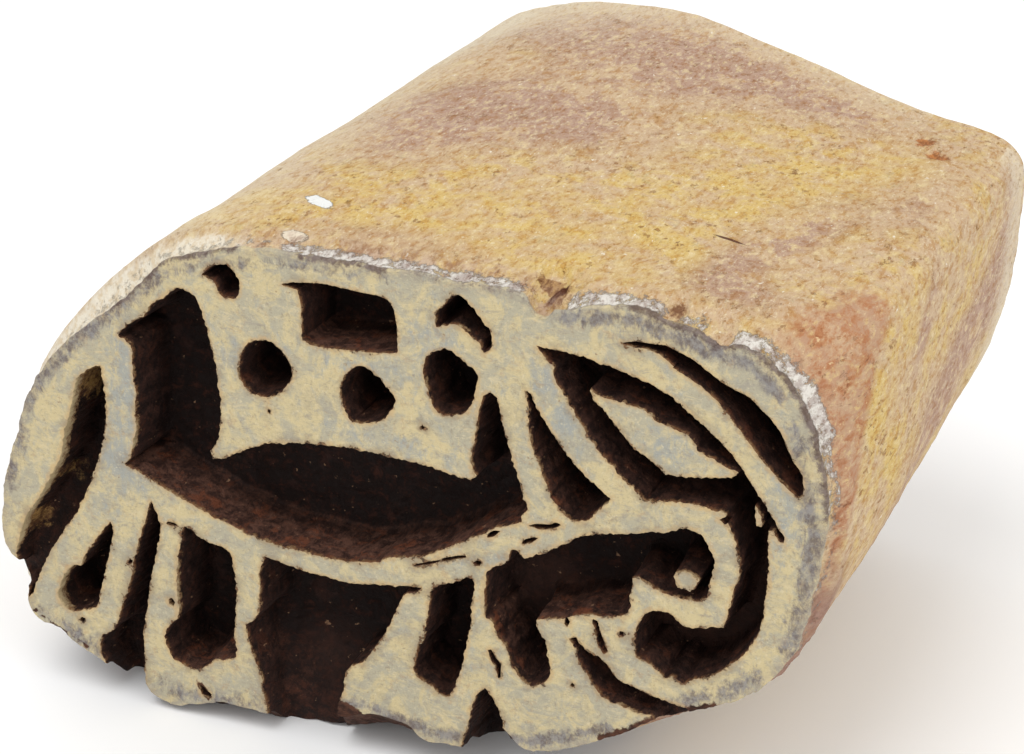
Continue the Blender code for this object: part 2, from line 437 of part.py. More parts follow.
def material(name, colour, roughness):
    mat = bpy.data.materials.new(name)
    mat.use_nodes = True
    shader = mat.node_tree.nodes["Principled BSDF"]
    shader.inputs["Base Color"].default_value = (*colour, 1.0)
    shader.inputs["Roughness"].default_value = roughness
    return mat


def main():
    clear_scene()
    block = build_body()
    cutters = [build_cutter(*recess) for recess in RECESSES]
    for cutter in cutters:
        mod = block.modifiers.new(cutter.name, "BOOLEAN")
        mod.operation = "DIFFERENCE"
        mod.solver = "EXACT"
        mod.object = cutter
    depsgraph = bpy.context.evaluated_depsgraph_get()
    result = bpy.data.meshes.new_from_object(block.evaluated_get(depsgraph))
    block.modifiers.clear()
    old = block.data
    block.data = result
    bpy.data.meshes.remove(old)
    for cutter in cutters:
        bpy.data.objects.remove(cutter, do_unlink=True)
    bm = bmesh.new()
    bm.from_mesh(block.data)
    bmesh.ops.remove_doubles(bm, verts=bm.verts, dist=0.02 * MM)
    bmesh.ops.dissolve_degenerate(bm, edges=bm.edges, dist=0.01 * MM)
    bmesh.ops.triangulate(bm, faces=bm.faces)
    bm.to_mesh(block.data)
    bm.free()
    block.data.name = "carved_block"
    block.data.materials.clear()
    block.data.materials.append(material("carved_wood", (0.60, 0.42, 0.22), 0.72))
    block.data.set_sharp_from_angle(angle=math.radians(35))
    for poly in block.data.polygons:
        poly.use_smooth = True


main()
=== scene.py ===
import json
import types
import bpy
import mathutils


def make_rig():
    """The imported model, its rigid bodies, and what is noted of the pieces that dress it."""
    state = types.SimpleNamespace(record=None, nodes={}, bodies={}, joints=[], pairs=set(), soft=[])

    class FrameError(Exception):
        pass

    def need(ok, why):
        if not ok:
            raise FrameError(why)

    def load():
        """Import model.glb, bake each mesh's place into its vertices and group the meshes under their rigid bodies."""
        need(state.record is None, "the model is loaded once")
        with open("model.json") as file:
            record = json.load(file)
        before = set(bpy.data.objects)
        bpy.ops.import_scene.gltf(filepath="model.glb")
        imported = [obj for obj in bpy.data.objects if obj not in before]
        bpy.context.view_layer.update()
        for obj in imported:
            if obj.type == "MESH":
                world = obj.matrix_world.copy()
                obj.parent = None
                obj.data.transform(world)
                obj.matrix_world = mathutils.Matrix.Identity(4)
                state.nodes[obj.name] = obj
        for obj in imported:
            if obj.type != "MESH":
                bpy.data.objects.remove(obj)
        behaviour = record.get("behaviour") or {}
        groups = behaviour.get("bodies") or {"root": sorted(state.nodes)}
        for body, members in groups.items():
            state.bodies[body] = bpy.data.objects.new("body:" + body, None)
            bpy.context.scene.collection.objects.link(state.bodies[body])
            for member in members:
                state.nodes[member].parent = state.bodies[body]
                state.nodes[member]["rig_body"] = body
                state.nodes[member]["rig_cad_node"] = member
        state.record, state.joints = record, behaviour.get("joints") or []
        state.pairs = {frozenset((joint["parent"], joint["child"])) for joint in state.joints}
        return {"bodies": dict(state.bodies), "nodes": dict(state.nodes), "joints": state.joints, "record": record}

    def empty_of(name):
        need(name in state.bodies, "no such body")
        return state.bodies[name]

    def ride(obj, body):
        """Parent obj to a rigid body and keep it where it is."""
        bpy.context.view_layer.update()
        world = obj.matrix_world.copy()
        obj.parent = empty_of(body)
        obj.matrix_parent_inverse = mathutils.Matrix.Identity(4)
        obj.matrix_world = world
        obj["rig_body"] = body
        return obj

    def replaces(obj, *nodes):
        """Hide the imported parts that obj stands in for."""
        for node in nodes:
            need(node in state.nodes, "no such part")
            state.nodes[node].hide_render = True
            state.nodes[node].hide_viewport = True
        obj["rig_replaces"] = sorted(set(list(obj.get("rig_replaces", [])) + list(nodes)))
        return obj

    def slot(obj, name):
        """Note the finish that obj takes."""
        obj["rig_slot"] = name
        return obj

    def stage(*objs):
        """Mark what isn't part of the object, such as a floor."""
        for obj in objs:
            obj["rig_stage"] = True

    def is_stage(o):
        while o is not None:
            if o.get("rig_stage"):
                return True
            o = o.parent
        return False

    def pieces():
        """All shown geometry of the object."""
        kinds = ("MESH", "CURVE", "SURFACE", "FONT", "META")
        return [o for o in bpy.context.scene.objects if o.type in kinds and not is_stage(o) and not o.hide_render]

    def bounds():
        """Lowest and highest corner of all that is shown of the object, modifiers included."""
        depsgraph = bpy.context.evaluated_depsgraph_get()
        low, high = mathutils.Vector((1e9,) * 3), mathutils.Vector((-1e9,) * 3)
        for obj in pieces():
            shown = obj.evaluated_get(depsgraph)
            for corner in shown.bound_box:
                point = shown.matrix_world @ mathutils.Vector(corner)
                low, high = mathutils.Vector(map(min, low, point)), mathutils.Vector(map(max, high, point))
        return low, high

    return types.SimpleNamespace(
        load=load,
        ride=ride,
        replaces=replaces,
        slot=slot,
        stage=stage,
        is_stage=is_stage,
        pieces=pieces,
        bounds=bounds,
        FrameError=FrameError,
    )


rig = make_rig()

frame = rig.load()

import json
import math

import bmesh
import bpy
import numpy as np
from mathutils import Matrix, Vector
from mathutils.geometry import delaunay_2d_cdt


def as_lists(b):
    return [[float(c) for c in b[0]], [float(c) for c in b[1]]]


CAD_BOX = as_lists(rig.bounds())
MM = 0.001
GAIN = 1.27                   # light falling on the block, relative to the colours below

# ---------------------------------------------------------------------------
# Control points, millimetres, front view of the printing face.
# x runs from the tail (-) to the head (+), z is up, the face lies in y = 0
# and the block runs back along +y.
# ---------------------------------------------------------------------------
REST_Z = -18.7          # height of the flat foot side in the drawing
DEPTH = 4.2             # carving depth below the printing face

# outline of the printing face, from the tail end clockwise over the top
FACE = [(-29.9, -8.5), (-29.8, -6.7), (-29.3, -4.1), (-28.3, -1.2), (-27.2, 1.7),
        (-26.0, 3.8), (-24.5, 5.6), (-22.9, 7.1), (-21.2, 8.4), (-19.6, 9.7),
        (-18.0, 11.2), (-16.6, 12.5), (-14.8, 13.2), (-13.0, 13.8), (-11.2, 14.2),
        (-9.0, 14.3), (-6.8, 14.3), (-4.4, 14.3), (-2.2, 14.2), (0.0, 14.3),
        (2.2, 14.1), (4.4, 14.1), (6.2, 14.0), (7.3, 13.3), (8.8, 13.3),
        (10.2, 13.8), (12.0, 14.1), (13.6, 14.2), (15.2, 13.6), (16.6, 13.4),
        (18.0, 12.8), (19.4, 12.9), (20.8, 12.2), (21.9, 11.3), (22.8, 10.1),
        (23.5, 8.6), (24.0, 6.8), (24.4, 5.0), (24.5, 3.2), (24.3, 1.2),
        (24.0, -0.8), (23.7, -2.8), (23.3, -4.6), (22.4, -6.4), (21.2, -8.0),
        (19.8, -9.1), (18.2, -9.9), (16.8, -10.6), (15.4, -11.2), (13.8, -12.3),
        (12.0, -13.5), (10.0, -14.6), (8.2, -15.3), (6.8, -15.6), (6.0, -15.2),
        (5.2, -14.4), (4.6, -15.0), (3.8, -15.9), (2.8, -16.4), (1.0, -16.5),
        (-0.3, -16.5), (-1.0, -15.8), (-2.2, -15.6), (-3.3, -15.5), (-4.6, -15.9),
        (-6.0, -16.3), (-7.9, -16.1), (-9.0, -16.8), (-10.4, -17.2), (-12.4, -17.2),
        (-14.4, -17.3), (-16.2, -17.8), (-17.6, -18.2), (-18.8, -18.1), (-19.8, -17.3),
        (-20.4, -16.3), (-21.2, -16.2), (-22.0, -16.5), (-23.4, -16.0), (-24.8, -15.3),
        (-26.2, -14.4), (-27.7, -14.0), (-28.4, -12.9), (-28.3, -11.4), (-28.6, -10.2),
        (-29.4, -9.5)]

# sections of the block behind the face; all have the same 35 stations
SEC_NEAR = [(-30.2, -9.0), (-29.8, -5.0), (-28.8, -0.5), (-26.9, 3.8), (-23.9, 7.7),
            (-20.4, 11.1), (-16.8, 13.6), (-12.0, 14.7), (-6.0, 14.8), (0.0, 14.7),
            (5.0, 14.5), (9.6, 14.4), (14.6, 14.5), (18.6, 13.7), (21.2, 12.9),
            (23.0, 11.5), (24.1, 9.6), (24.8, 7.0), (25.2, 3.8), (25.0, 0.4),
            (24.4, -2.8), (23.2, -5.7), (21.3, -8.5), (18.0, -10.6), (14.4, -12.9),
            (10.6, -15.0), (6.4, -15.8), (2.9, -16.9), (-2.4, -17.0), (-7.4, -18.5),
            (-15.0, -18.7), (-20.6, -18.7), (-24.8, -16.5), (-28.0, -14.6), (-29.6, -12.1)]
SEC_MID = [(-30.2, -9.0), (-29.7, -4.9), (-28.6, -0.4), (-26.6, 3.8), (-23.5, 7.7),
           (-20.1, 11.2), (-16.6, 13.9), (-11.8, 14.9), (-5.8, 15.1), (0.0, 15.0),
           (5.0, 14.8), (9.8, 14.6), (14.8, 14.5), (19.2, 14.0), (22.4, 13.5),
           (24.2, 12.5), (25.0, 10.6), (25.3, 7.6), (25.4, 4.0), (25.2, 0.5),
           (24.6, -2.8), (23.3, -5.8), (21.3, -8.6), (18.0, -10.8), (14.4, -13.2),
           (10.4, -15.4), (6.4, -16.6), (2.8, -17.9), (-1.8, -18.2), (-7.6, -18.7),
           (-15.0, -18.7), (-20.8, -18.7), (-24.8, -17.1), (-28.0, -15.0), (-29.6, -12.2)]
SEC_FULL = [(-30.2, -8.9), (-29.7, -4.6), (-28.5, 0.1), (-26.4, 4.4), (-23.2, 8.3),
            (-19.8, 11.6), (-16.4, 14.0), (-11.4, 15.2), (-5.6, 15.5), (0.1, 15.4),
            (5.0, 15.1), (10.0, 14.8), (15.0, 14.4), (19.6, 14.0), (23.2, 13.7),
            (25.1, 13.0), (25.7, 11.4), (25.8, 8.1), (25.8, 4.2), (25.6, 0.6),
            (24.8, -2.7), (23.3, -5.9), (21.1, -8.7), (17.8, -11.2), (14.2, -13.5),
            (10.2, -15.7), (6.2, -17.2), (2.7, -18.3), (-1.0, -18.7), (-8.0, -18.7),
            (-15.0, -18.7), (-20.8, -18.7), (-24.8, -17.6), (-27.8, -15.4), (-29.6, -12.5)]
SEC_BACK = [(-29.6, -8.5), (-29.2, -3.6), (-27.9, 1.6), (-25.4, 6.2), (-22.2, 10.0),
            (-18.6, 13.0), (-14.8, 15.4), (-9.8, 17.1), (-4.4, 17.8), (0.5, 17.9),
            (5.0, 17.2), (10.0, 16.4), (15.0, 15.3), (19.6, 14.5), (23.3, 14.2),
            (25.7, 13.6), (26.7, 12.3), (26.9, 8.9), (26.7, 4.9), (26.0, 1.1),
            (24.9, -2.4), (23.1, -5.9), (20.8, -9.0), (17.4, -11.7), (13.6, -14.0),
            (9.8, -16.1), (6.0, -17.5), (2.5, -18.4), (-1.0, -18.7), (-8.0, -18.7),
            (-15.0, -18.7), (-20.8, -18.7), (-24.6, -18.0), (-27.4, -15.8), (-29.0, -12.6)]
# face station -> section station, so the two outlines are sampled together
LANDMARKS = [((-29.9, -8.5), 0), ((-27.2, 1.7), 2), ((-21.2, 8.4), 4), ((-14.8, 13.2), 6),
             ((-4.4, 14.3), 8), ((6.2, 14.0), 10), ((15.2, 13.6), 12), ((20.8, 12.2), 14),
             ((23.5, 8.6), 16), ((24.5, 3.2), 18), ((23.7, -2.8), 20), ((21.2, -8.0), 22),
             ((15.4, -11.2), 24), ((8.2, -15.3), 26), ((1.0, -16.5), 28), ((-7.9, -16.1), 29),
             ((-14.4, -17.3), 30), ((-20.4, -16.3), 31), ((-24.8, -15.3), 32),
             ((-27.7, -14.0), 33), ((-28.3, -11.4), 34)]
BACK_X, BACK_Y, BACK_SLOPE = 25.0, 40.0, 0.325      # back face: y = 40 + 0.325 * (25 - x)

# recesses: name, opening outline, islands, (x, z, depth) at the deep and the
# shallow end of a sloping floor (or None for a level one)
SADDLE_AND_BELLY = [
    (-20.0, 7.3), (-19.4, 8.0), (-18.8, 8.4), (-18.0, 8.9), (-17.4, 9.8), (-16.5, 10.3),
    (-15.8, 10.9), (-15.0, 10.9), (-14.5, 10.5), (-14.1, 9.6), (-13.8, 8.5), (-13.5, 7.0),
    (-13.3, 5.5), (-13.2, 3.5), (-13.4, 2.0), (-13.7, 1.1), (-14.1, 0.6), (-13.9, 0.1),
    (-13.2, 0.2), (-12.0, 0.9), (-11.0, 1.4), (-10.0, 1.8), (-8.0, 2.2), (-6.0, 2.4),
    (-4.0, 2.5), (-2.0, 2.4), (0.0, 2.3), (1.5, 2.1), (3.0, 1.9), (3.6, 2.2),
    (3.3, 3.2), (3.5, 4.2), (3.7, 5.5), (3.9, 6.6), (4.1, 7.4), (4.5, 7.6), (4.9, 7.3),
    (5.3, 5.6), (5.6, 4.5), (6.0, 3.2), (6.4, 1.9), (6.8, 0.7), (6.5, 0.3), (6.4, -0.2),
    (5.4, -0.6), (4.6, -1.0), (3.7, -1.6), (3.0, -2.0), (2.0, -2.6), (1.0, -3.2),
    (0.0, -3.7), (-1.0, -4.0), (-2.0, -4.2), (-3.0, -4.7), (-4.0, -4.9), (-5.0, -5.1),
    (-6.5, -5.1), (-8.0, -5.0), (-10.0, -4.9), (-11.0, -4.7), (-12.0, -4.5), (-13.0, -4.1),
    (-14.0, -3.9), (-15.0, -3.5), (-16.0, -3.1), (-17.0, -2.7), (-18.0, -2.3),
    (-19.0, -1.8), (-20.2, -1.4), (-19.7, -0.8), (-19.5, 0.2), (-19.2, 1.2), (-19.2, 2.4),
    (-19.0, 3.5), (-19.2, 5.0), (-19.1, 6.2), (-19.3, 6.9)]
TAIL_GAP = [
    (-21.5, 5.0), (-21.3, 3.0), (-21.4, 1.5), (-21.7, 0.0), (-22.0, -1.0), (-22.4, -2.0),
    (-23.0, -3.4), (-24.0, -5.3), (-25.0, -6.8), (-26.0, -8.2), (-26.8, -9.6),
    (-27.4, -10.8), (-28.0, -12.1), (-28.3, -12.5), (-28.2, -11.7), (-32.0, -11.4),
    (-32.0, -10.2), (-28.8, -10.1), (-28.9, -9.2), (-28.5, -7.9), (-27.9, -6.5), (-26.8, -5.0), (-25.8, -3.3),
    (-24.9, -1.7), (-24.5, 0.0), (-24.0, 1.3), (-23.6, 2.6), (-23.3, 3.7), (-22.5, 4.5)]
SADDLE_CORNER_HOLE = [
    (-13.9, 12.1), (-13.3, 12.7), (-12.3, 13.0), (-11.9, 12.7), (-11.5, 12.1),
    (-11.5, 11.6), (-11.7, 11.1), (-12.2, 10.9), (-12.8, 11.0), (-13.0, 11.6), (-13.3, 11.9)]
SADDLE_WINDOW = [
    (-8.6, 12.3), (-7.8, 12.5), (-7.0, 12.6), (-6.0, 12.7), (-4.5, 12.6), (-3.0, 12.5),
    (-2.0, 12.4), (-1.6, 12.0), (-1.4, 11.4), (-1.3, 10.4), (-1.3, 9.2), (-2.5, 9.0),
    (-4.0, 8.9), (-5.5, 8.8), (-6.9, 8.8), (-7.4, 9.1), (-7.4, 10.2), (-7.4, 11.2),
    (-7.6, 12.1)]
SADDLE_CRESCENT = [
    (1.2, 11.2), (1.2, 12.0), (1.7, 12.6), (2.1, 13.1), (2.5, 13.3), (3.0, 13.1),
    (3.4, 12.7), (3.9, 12.1), (4.4, 11.5), (4.6, 10.9), (4.5, 10.4), (4.1, 10.1),
    (3.9, 10.6), (3.5, 10.9), (2.9, 11.3), (2.3, 11.6), (1.8, 11.4)]
ROUND_LEFT = [
    (-11.8, 6.0), (-11.7, 6.8), (-11.5, 7.5), (-11.0, 8.2), (-10.3, 8.5), (-9.6, 8.5),
    (-8.9, 8.1), (-8.4, 7.4), (-8.2, 6.8), (-8.4, 6.2), (-8.9, 5.5), (-9.5, 5.1),
    (-10.2, 4.9), (-10.9, 5.0), (-11.5, 5.5)]
ROUND_MIDDLE = [
    (-5.0, 6.0), (-4.9, 6.8), (-4.5, 7.4), (-3.9, 7.9), (-3.4, 7.9), (-2.7, 7.5),
    (-2.0, 6.9), (-1.5, 6.2), (-1.7, 5.6), (-2.2, 4.9), (-3.0, 4.5), (-3.8, 4.3),
    (-4.3, 4.3), (-4.7, 4.9)]
ROUND_RIGHT = [
    (0.4, 8.6), (0.6, 9.2), (1.2, 9.7), (1.8, 9.9), (2.4, 9.6), (3.0, 9.2), (3.6, 8.8),
    (3.7, 8.3), (3.5, 7.5), (3.3, 6.7), (2.7, 6.0), (1.9, 5.8), (1.3, 5.8), (0.9, 6.3),
    (0.6, 7.2), (0.4, 8.0)]
NECK_GAP = [
    (6.7, 8.1), (7.0, 8.0), (7.2, 7.4), (7.6, 6.8), (8.0, 6.2), (8.6, 5.4), (9.3, 4.5),
    (10.0, 3.8), (10.8, 3.1), (11.9, 2.3), (11.5, 1.9), (11.0, 1.3), (10.4, 0.7),
    (9.8, 0.5), (9.0, 0.9), (8.6, 1.4), (8.2, 2.1), (7.7, 3.3), (7.3, 4.3), (7.0, 5.2),
    (6.9, 6.2), (6.9, 7.2)]
EAR_AND_TRUNK = [
    (7.4, 11.0), (8.2, 10.9), (9.0, 10.9), (10.0, 10.8), (11.0, 10.6), (12.0, 10.4),
    (13.0, 10.1), (14.0, 9.8), (15.0, 9.4), (15.7, 9.0), (16.3, 8.5), (17.0, 8.0),
    (18.0, 7.2), (18.7, 6.6), (19.3, 5.9), (19.9, 5.1), (20.5, 4.3), (21.0, 3.6),
    (21.5, 2.8), (22.1, 1.9), (22.1, 1.6), (21.8, 1.7), (21.5, 2.3), (21.2, 2.2),
    (21.2, 1.2), (21.3, 0.0), (21.3, -1.0), (21.2, -2.0), (21.1, -3.4), (20.9, -4.4),
    (20.5, -5.2), (20.0, -6.0), (19.3, -6.8), (18.6, -7.5), (18.0, -7.9), (17.2, -8.2),
    (16.6, -8.6), (15.9, -8.4), (15.4, -8.5), (14.9, -8.1), (14.3, -7.7), (13.7, -7.5),
    (13.6, -6.8), (13.6, -6.0), (13.8, -5.3), (14.2, -4.6), (14.8, -4.3), (15.4, -4.2),
    (15.9, -4.5), (16.4, -4.9), (17.0, -4.9), (18.0, -4.7), (18.9, -4.5), (19.1, -3.6),
    (19.3, -2.8), (19.4, -2.0), (19.6, -1.2), (19.7, -0.4), (19.5, 0.6), (19.2, 1.5),
    (18.8, 2.3), (18.8, 2.8), (17.6, 2.9), (16.6, 3.0), (15.6, 2.9), (14.8, 2.8),
    (14.0, 2.6), (13.4, 3.2), (12.6, 3.8), (12.0, 4.4), (11.4, 5.0), (10.8, 5.7),
    (10.1, 6.7), (9.5, 7.6), (9.2, 8.2), (8.7, 8.8), (8.4, 9.4), (8.4, 9.9), (8.0, 10.3)]
EAR_LEAF = [
    (10.6, 8.9), (11.2, 8.6), (12.0, 8.5), (12.8, 8.4), (13.8, 8.2), (14.6, 7.7),
    (15.6, 7.4), (16.5, 7.1), (17.0, 6.4), (18.0, 5.9), (18.8, 5.6), (19.4, 5.4),
    (19.0, 5.0), (18.2, 4.8), (17.0, 4.6), (16.0, 4.5), (15.2, 4.5), (14.6, 4.9),
    (13.8, 5.4), (13.0, 5.9), (12.4, 6.6), (11.7, 7.4), (11.1, 8.0), (10.7, 8.4)]
EAR_SLIVER = [(20.4, 3.6), (20.7, 3.1), (20.9, 2.6), (20.8, 2.3), (20.5, 2.3), (20.4, 2.8)]
UNDER_TRUNK = [
    (4.3, -4.0), (5.0, -3.4), (5.6, -3.0), (5.8, -2.2), (6.2, -2.2), (6.6, -2.6),
    (7.2, -2.3), (8.0, -1.9), (8.7, -1.4), (9.5, -0.9), (10.2, -0.4), (11.2, -0.1),
    (12.4, 0.2), (13.4, 0.4), (14.4, 0.7), (15.4, 0.9), (16.0, 1.2), (16.8, 1.3),
    (17.3, 1.1), (17.7, 0.6), (18.0, 0.0), (18.2, -0.6), (18.0, -1.3), (17.9, -2.0),
    (17.8, -2.7), (17.3, -3.0), (16.5, -3.1), (15.6, -3.0), (14.9, -2.9), (14.3, -2.6),
    (13.7, -2.3), (13.3, -2.4), (13.2, -3.4), (13.2, -4.2), (13.0, -4.8), (12.4, -5.1),
    (11.4, -5.3), (10.4, -5.4), (9.6, -5.7), (9.0, -6.0), (8.0, -6.2), (7.4, -6.4),
    (7.4, -6.9), (7.7, -7.4), (8.0, -8.0), (8.1, -8.8), (8.3, -9.5), (8.2, -10.2),
    (7.7, -10.7), (7.1, -11.0), (6.6, -10.8), (6.1, -10.2), (5.8, -9.7), (5.7, -9.1),
    (5.4, -8.6), (5.0, -8.2), (4.8, -7.6), (4.6, -7.1), (4.2, -7.0), (4.1, -6.4),
    (4.1, -5.6), (4.2, -4.8)]
TRUNK_ISLAND = [(15.9, -1.5), (16.6, -1.4), (17.3, -1.7), (17.2, -2.2), (16.8, -2.6),
                (16.0, -2.5), (15.8, -2.0)]
FRONT_LEG = [
    (0.6, -6.1), (1.0, -5.6), (1.7, -5.3), (2.3, -5.0), (2.9, -4.6), (3.3, -4.6),
    (3.4, -5.0), (3.3, -5.8), (3.2, -6.6), (3.2, -7.6), (3.0, -8.4), (2.8, -9.4),
    (2.6, -10.4), (2.3, -11.5), (2.0, -12.4), (1.7, -13.0), (1.1, -13.0), (0.6, -12.6),
    (0.0, -12.3), (-0.5, -11.9), (-0.6, -11.4), (-0.4, -10.8), (-0.3, -10.0),
    (0.1, -9.4), (0.2, -8.5), (0.4, -7.8), (0.5, -7.0)]
LEG_GAP = [
    (-10.6, -6.0), (-9.2, -6.2), (-8.0, -6.4), (-6.5, -6.5), (-5.0, -6.6), (-4.0, -6.5),
    (-3.0, -6.3), (-2.0, -6.2), (-1.0, -6.0), (0.0, -5.9), (-0.5, -6.3), (-1.1, -6.5),
    (-1.5, -7.2), (-1.9, -8.1), (-2.3, -9.0), (-2.8, -10.0), (-3.4, -10.9), (-4.1, -11.9),
    (-4.9, -12.4), (-5.4, -13.2), (-5.5, -14.2), (-5.8, -15.0), (-6.0, -16.0),
    (-6.2, -21.0), (-10.9, -21.0), (-10.9, -17.0), (-11.1, -16.0), (-11.2, -15.0),
    (-11.4, -14.0), (-11.8, -13.0), (-12.0, -12.0), (-12.2, -11.1), (-11.6, -10.6),
    (-11.1, -9.8), (-11.1, -9.0), (-11.0, -8.0), (-11.0, -7.0)]
HIND_GAP = [
    (-18.5, -3.7), (-18.3, -4.2), (-18.1, -4.7), (-18.0, -5.4), (-18.1, -6.0),
    (-18.3, -7.0), (-18.6, -8.0), (-18.9, -9.0), (-19.1, -10.0), (-19.3, -11.0),
    (-19.5, -12.0), (-19.7, -13.0), (-19.8, -14.0), (-19.8, -15.0), (-19.9, -16.2),
    (-20.0, -21.0), (-22.6, -21.0), (-22.7, -16.3), (-23.0, -15.6), (-23.0, -14.7),
    (-22.7, -14.1), (-22.1, -13.7), (-21.6, -13.0), (-21.3, -12.0), (-20.9, -11.0),
    (-20.5, -10.0), (-20.2, -9.0), (-20.0, -8.0), (-19.7, -7.2), (-19.5, -6.4),
    (-19.3, -5.8), (-19.0, -5.2), (-18.8, -4.5)]
HIND_LEG = [
    (-16.2, -5.0), (-15.7, -5.1), (-15.3, -5.5), (-14.5, -5.8), (-13.6, -5.9),
    (-13.0, -6.3), (-12.9, -7.0), (-12.8, -8.0), (-12.8, -9.0), (-12.9, -10.0),
    (-13.0, -11.0), (-13.1, -12.0), (-13.0, -13.0), (-13.1, -13.6), (-13.8, -13.9),
    (-14.6, -14.1), (-15.1, -14.6), (-15.7, -15.0), (-16.4, -15.1), (-17.0, -14.9),
    (-17.6, -14.6), (-17.9, -14.1), (-18.1, -13.5), (-18.0, -12.8), (-17.6, -12.2),
    (-17.2, -11.8), (-17.0, -11.2), (-17.0, -10.4), (-17.0, -9.4), (-16.9, -8.2),
    (-16.7, -7.0), (-16.5, -6.2), (-16.4, -5.4)]
REAR_FOOT = [
    (-21.6, -5.7), (-21.5, -6.3), (-21.6, -7.0), (-21.9, -8.0), (-22.2, -9.0),
    (-22.5, -10.0), (-22.8, -11.0), (-23.0, -11.8), (-23.5, -12.3), (-24.1, -12.5),
    (-24.7, -12.8), (-25.3, -12.8), (-25.8, -12.4), (-26.0, -11.8), (-25.8, -11.1),
    (-25.5, -10.5), (-25.1, -9.9), (-24.7, -9.5), (-24.1, -9.3), (-23.7, -8.6),
    (-23.2, -7.8), (-22.7, -7.1), (-22.2, -6.5)]
EAR_RIM = [
    (12.5, 12.0), (13.2, 12.2), (14.2, 12.2), (15.0, 12.2), (15.8, 11.9), (16.6, 11.6),
    (17.2, 11.2), (18.0, 10.7), (18.8, 10.3), (19.7, 10.0), (20.4, 9.4), (21.0, 8.9),
    (21.6, 8.2), (22.0, 7.4), (22.4, 6.6), (22.9, 5.9), (23.0, 5.2), (23.0, 4.7),
    (22.8, 4.5), (22.4, 4.8), (21.9, 5.2), (21.3, 5.8), (20.7, 6.4), (20.1, 7.1),
    (19.5, 7.8), (18.9, 8.5), (18.3, 9.2), (17.6, 9.8), (17.0, 10.2), (16.3, 10.6),
    (15.7, 10.9), (15.2, 11.3), (14.6, 11.7), (13.8, 11.9), (13.0, 11.9)]
CHIN_GROOVE = [
    (9.5, -7.3), (9.9, -7.1), (10.3, -7.6), (10.8, -8.0), (11.3, -8.1), (11.9, -8.6),
    (12.4, -9.2), (13.0, -9.5), (13.8, -9.7), (14.6, -9.9), (15.4, -10.1), (16.2, -10.2),
    (17.0, -10.4), (18.6, -12.6), (16.6, -13.6), (14.6, -11.2), (13.6, -11.2),
    (12.8, -11.0), (12.2, -10.9), (11.5, -10.6), (11.0, -9.9), (10.6, -9.3),
    (10.1, -8.6), (10.0, -8.0)]
CHIN_SLIT = [(11.0, -5.7), (11.2, -5.8), (11.4, -6.4), (11.7, -7.1), (11.9, -7.6),
             (11.7, -7.8), (11.4, -7.4), (11.2, -6.8), (11.1, -6.3)]
FOOT_NOTCH = [(4.1, -11.9), (4.6, -12.6), (5.0, -13.4), (5.2, -14.2), (5.6, -21.0),
              (2.6, -21.0), (2.6, -15.9), (2.9, -15.1), (3.1, -14.4), (3.2, -13.6),
              (3.4, -12.9), (3.7, -12.3)]

RECESSES = [
    ("saddle_and_belly", SADDLE_AND_BELLY, [], None),
    ("tail_gap", TAIL_GAP, [], ((-23.0, -1.0, 4.0), (-29.2, -10.2, 1.7))),
    ("saddle_corner_hole", SADDLE_CORNER_HOLE, [], None),
    ("saddle_window", SADDLE_WINDOW, [], None),
    ("saddle_crescent", SADDLE_CRESCENT, [], None),
    ("round_left", ROUND_LEFT, [], None),
    ("round_middle", ROUND_MIDDLE, [], None),
    ("round_right", ROUND_RIGHT, [], None),
    ("neck_gap", NECK_GAP, [], None),
    ("ear_and_trunk", EAR_AND_TRUNK, [EAR_LEAF, EAR_SLIVER], None),
    ("under_trunk", UNDER_TRUNK, [TRUNK_ISLAND], None),
    ("front_leg", FRONT_LEG, [], None),
    ("leg_gap", LEG_GAP, [], ((-8.0, -12.0, 4.2), (-10.5, -17.0, 2.4))),
    ("hind_gap", HIND_GAP, [], ((-19.0, -9.0, 4.0), (-21.4, -16.4, 3.3))),
    ("hind_leg", HIND_LEG, [], None),
    ("rear_foot", REAR_FOOT, [], None),
    ("ear_rim", EAR_RIM, [], None),
    ("chin_groove", CHIN_GROOVE, [], ((11.0, -8.6, 3.4), (16.0, -10.9, 1.7))),
    ("chin_slit", CHIN_SLIT, [], None),
    ("foot_notch", FOOT_NOTCH, [], None),
]

NEAR_Y, MID_Y, FULL_Y = 2.2, 5.0, 10.0
BACK_ROUND = 1.2
CENTRE_X, CENTRE_Y = -1.65, 28.7

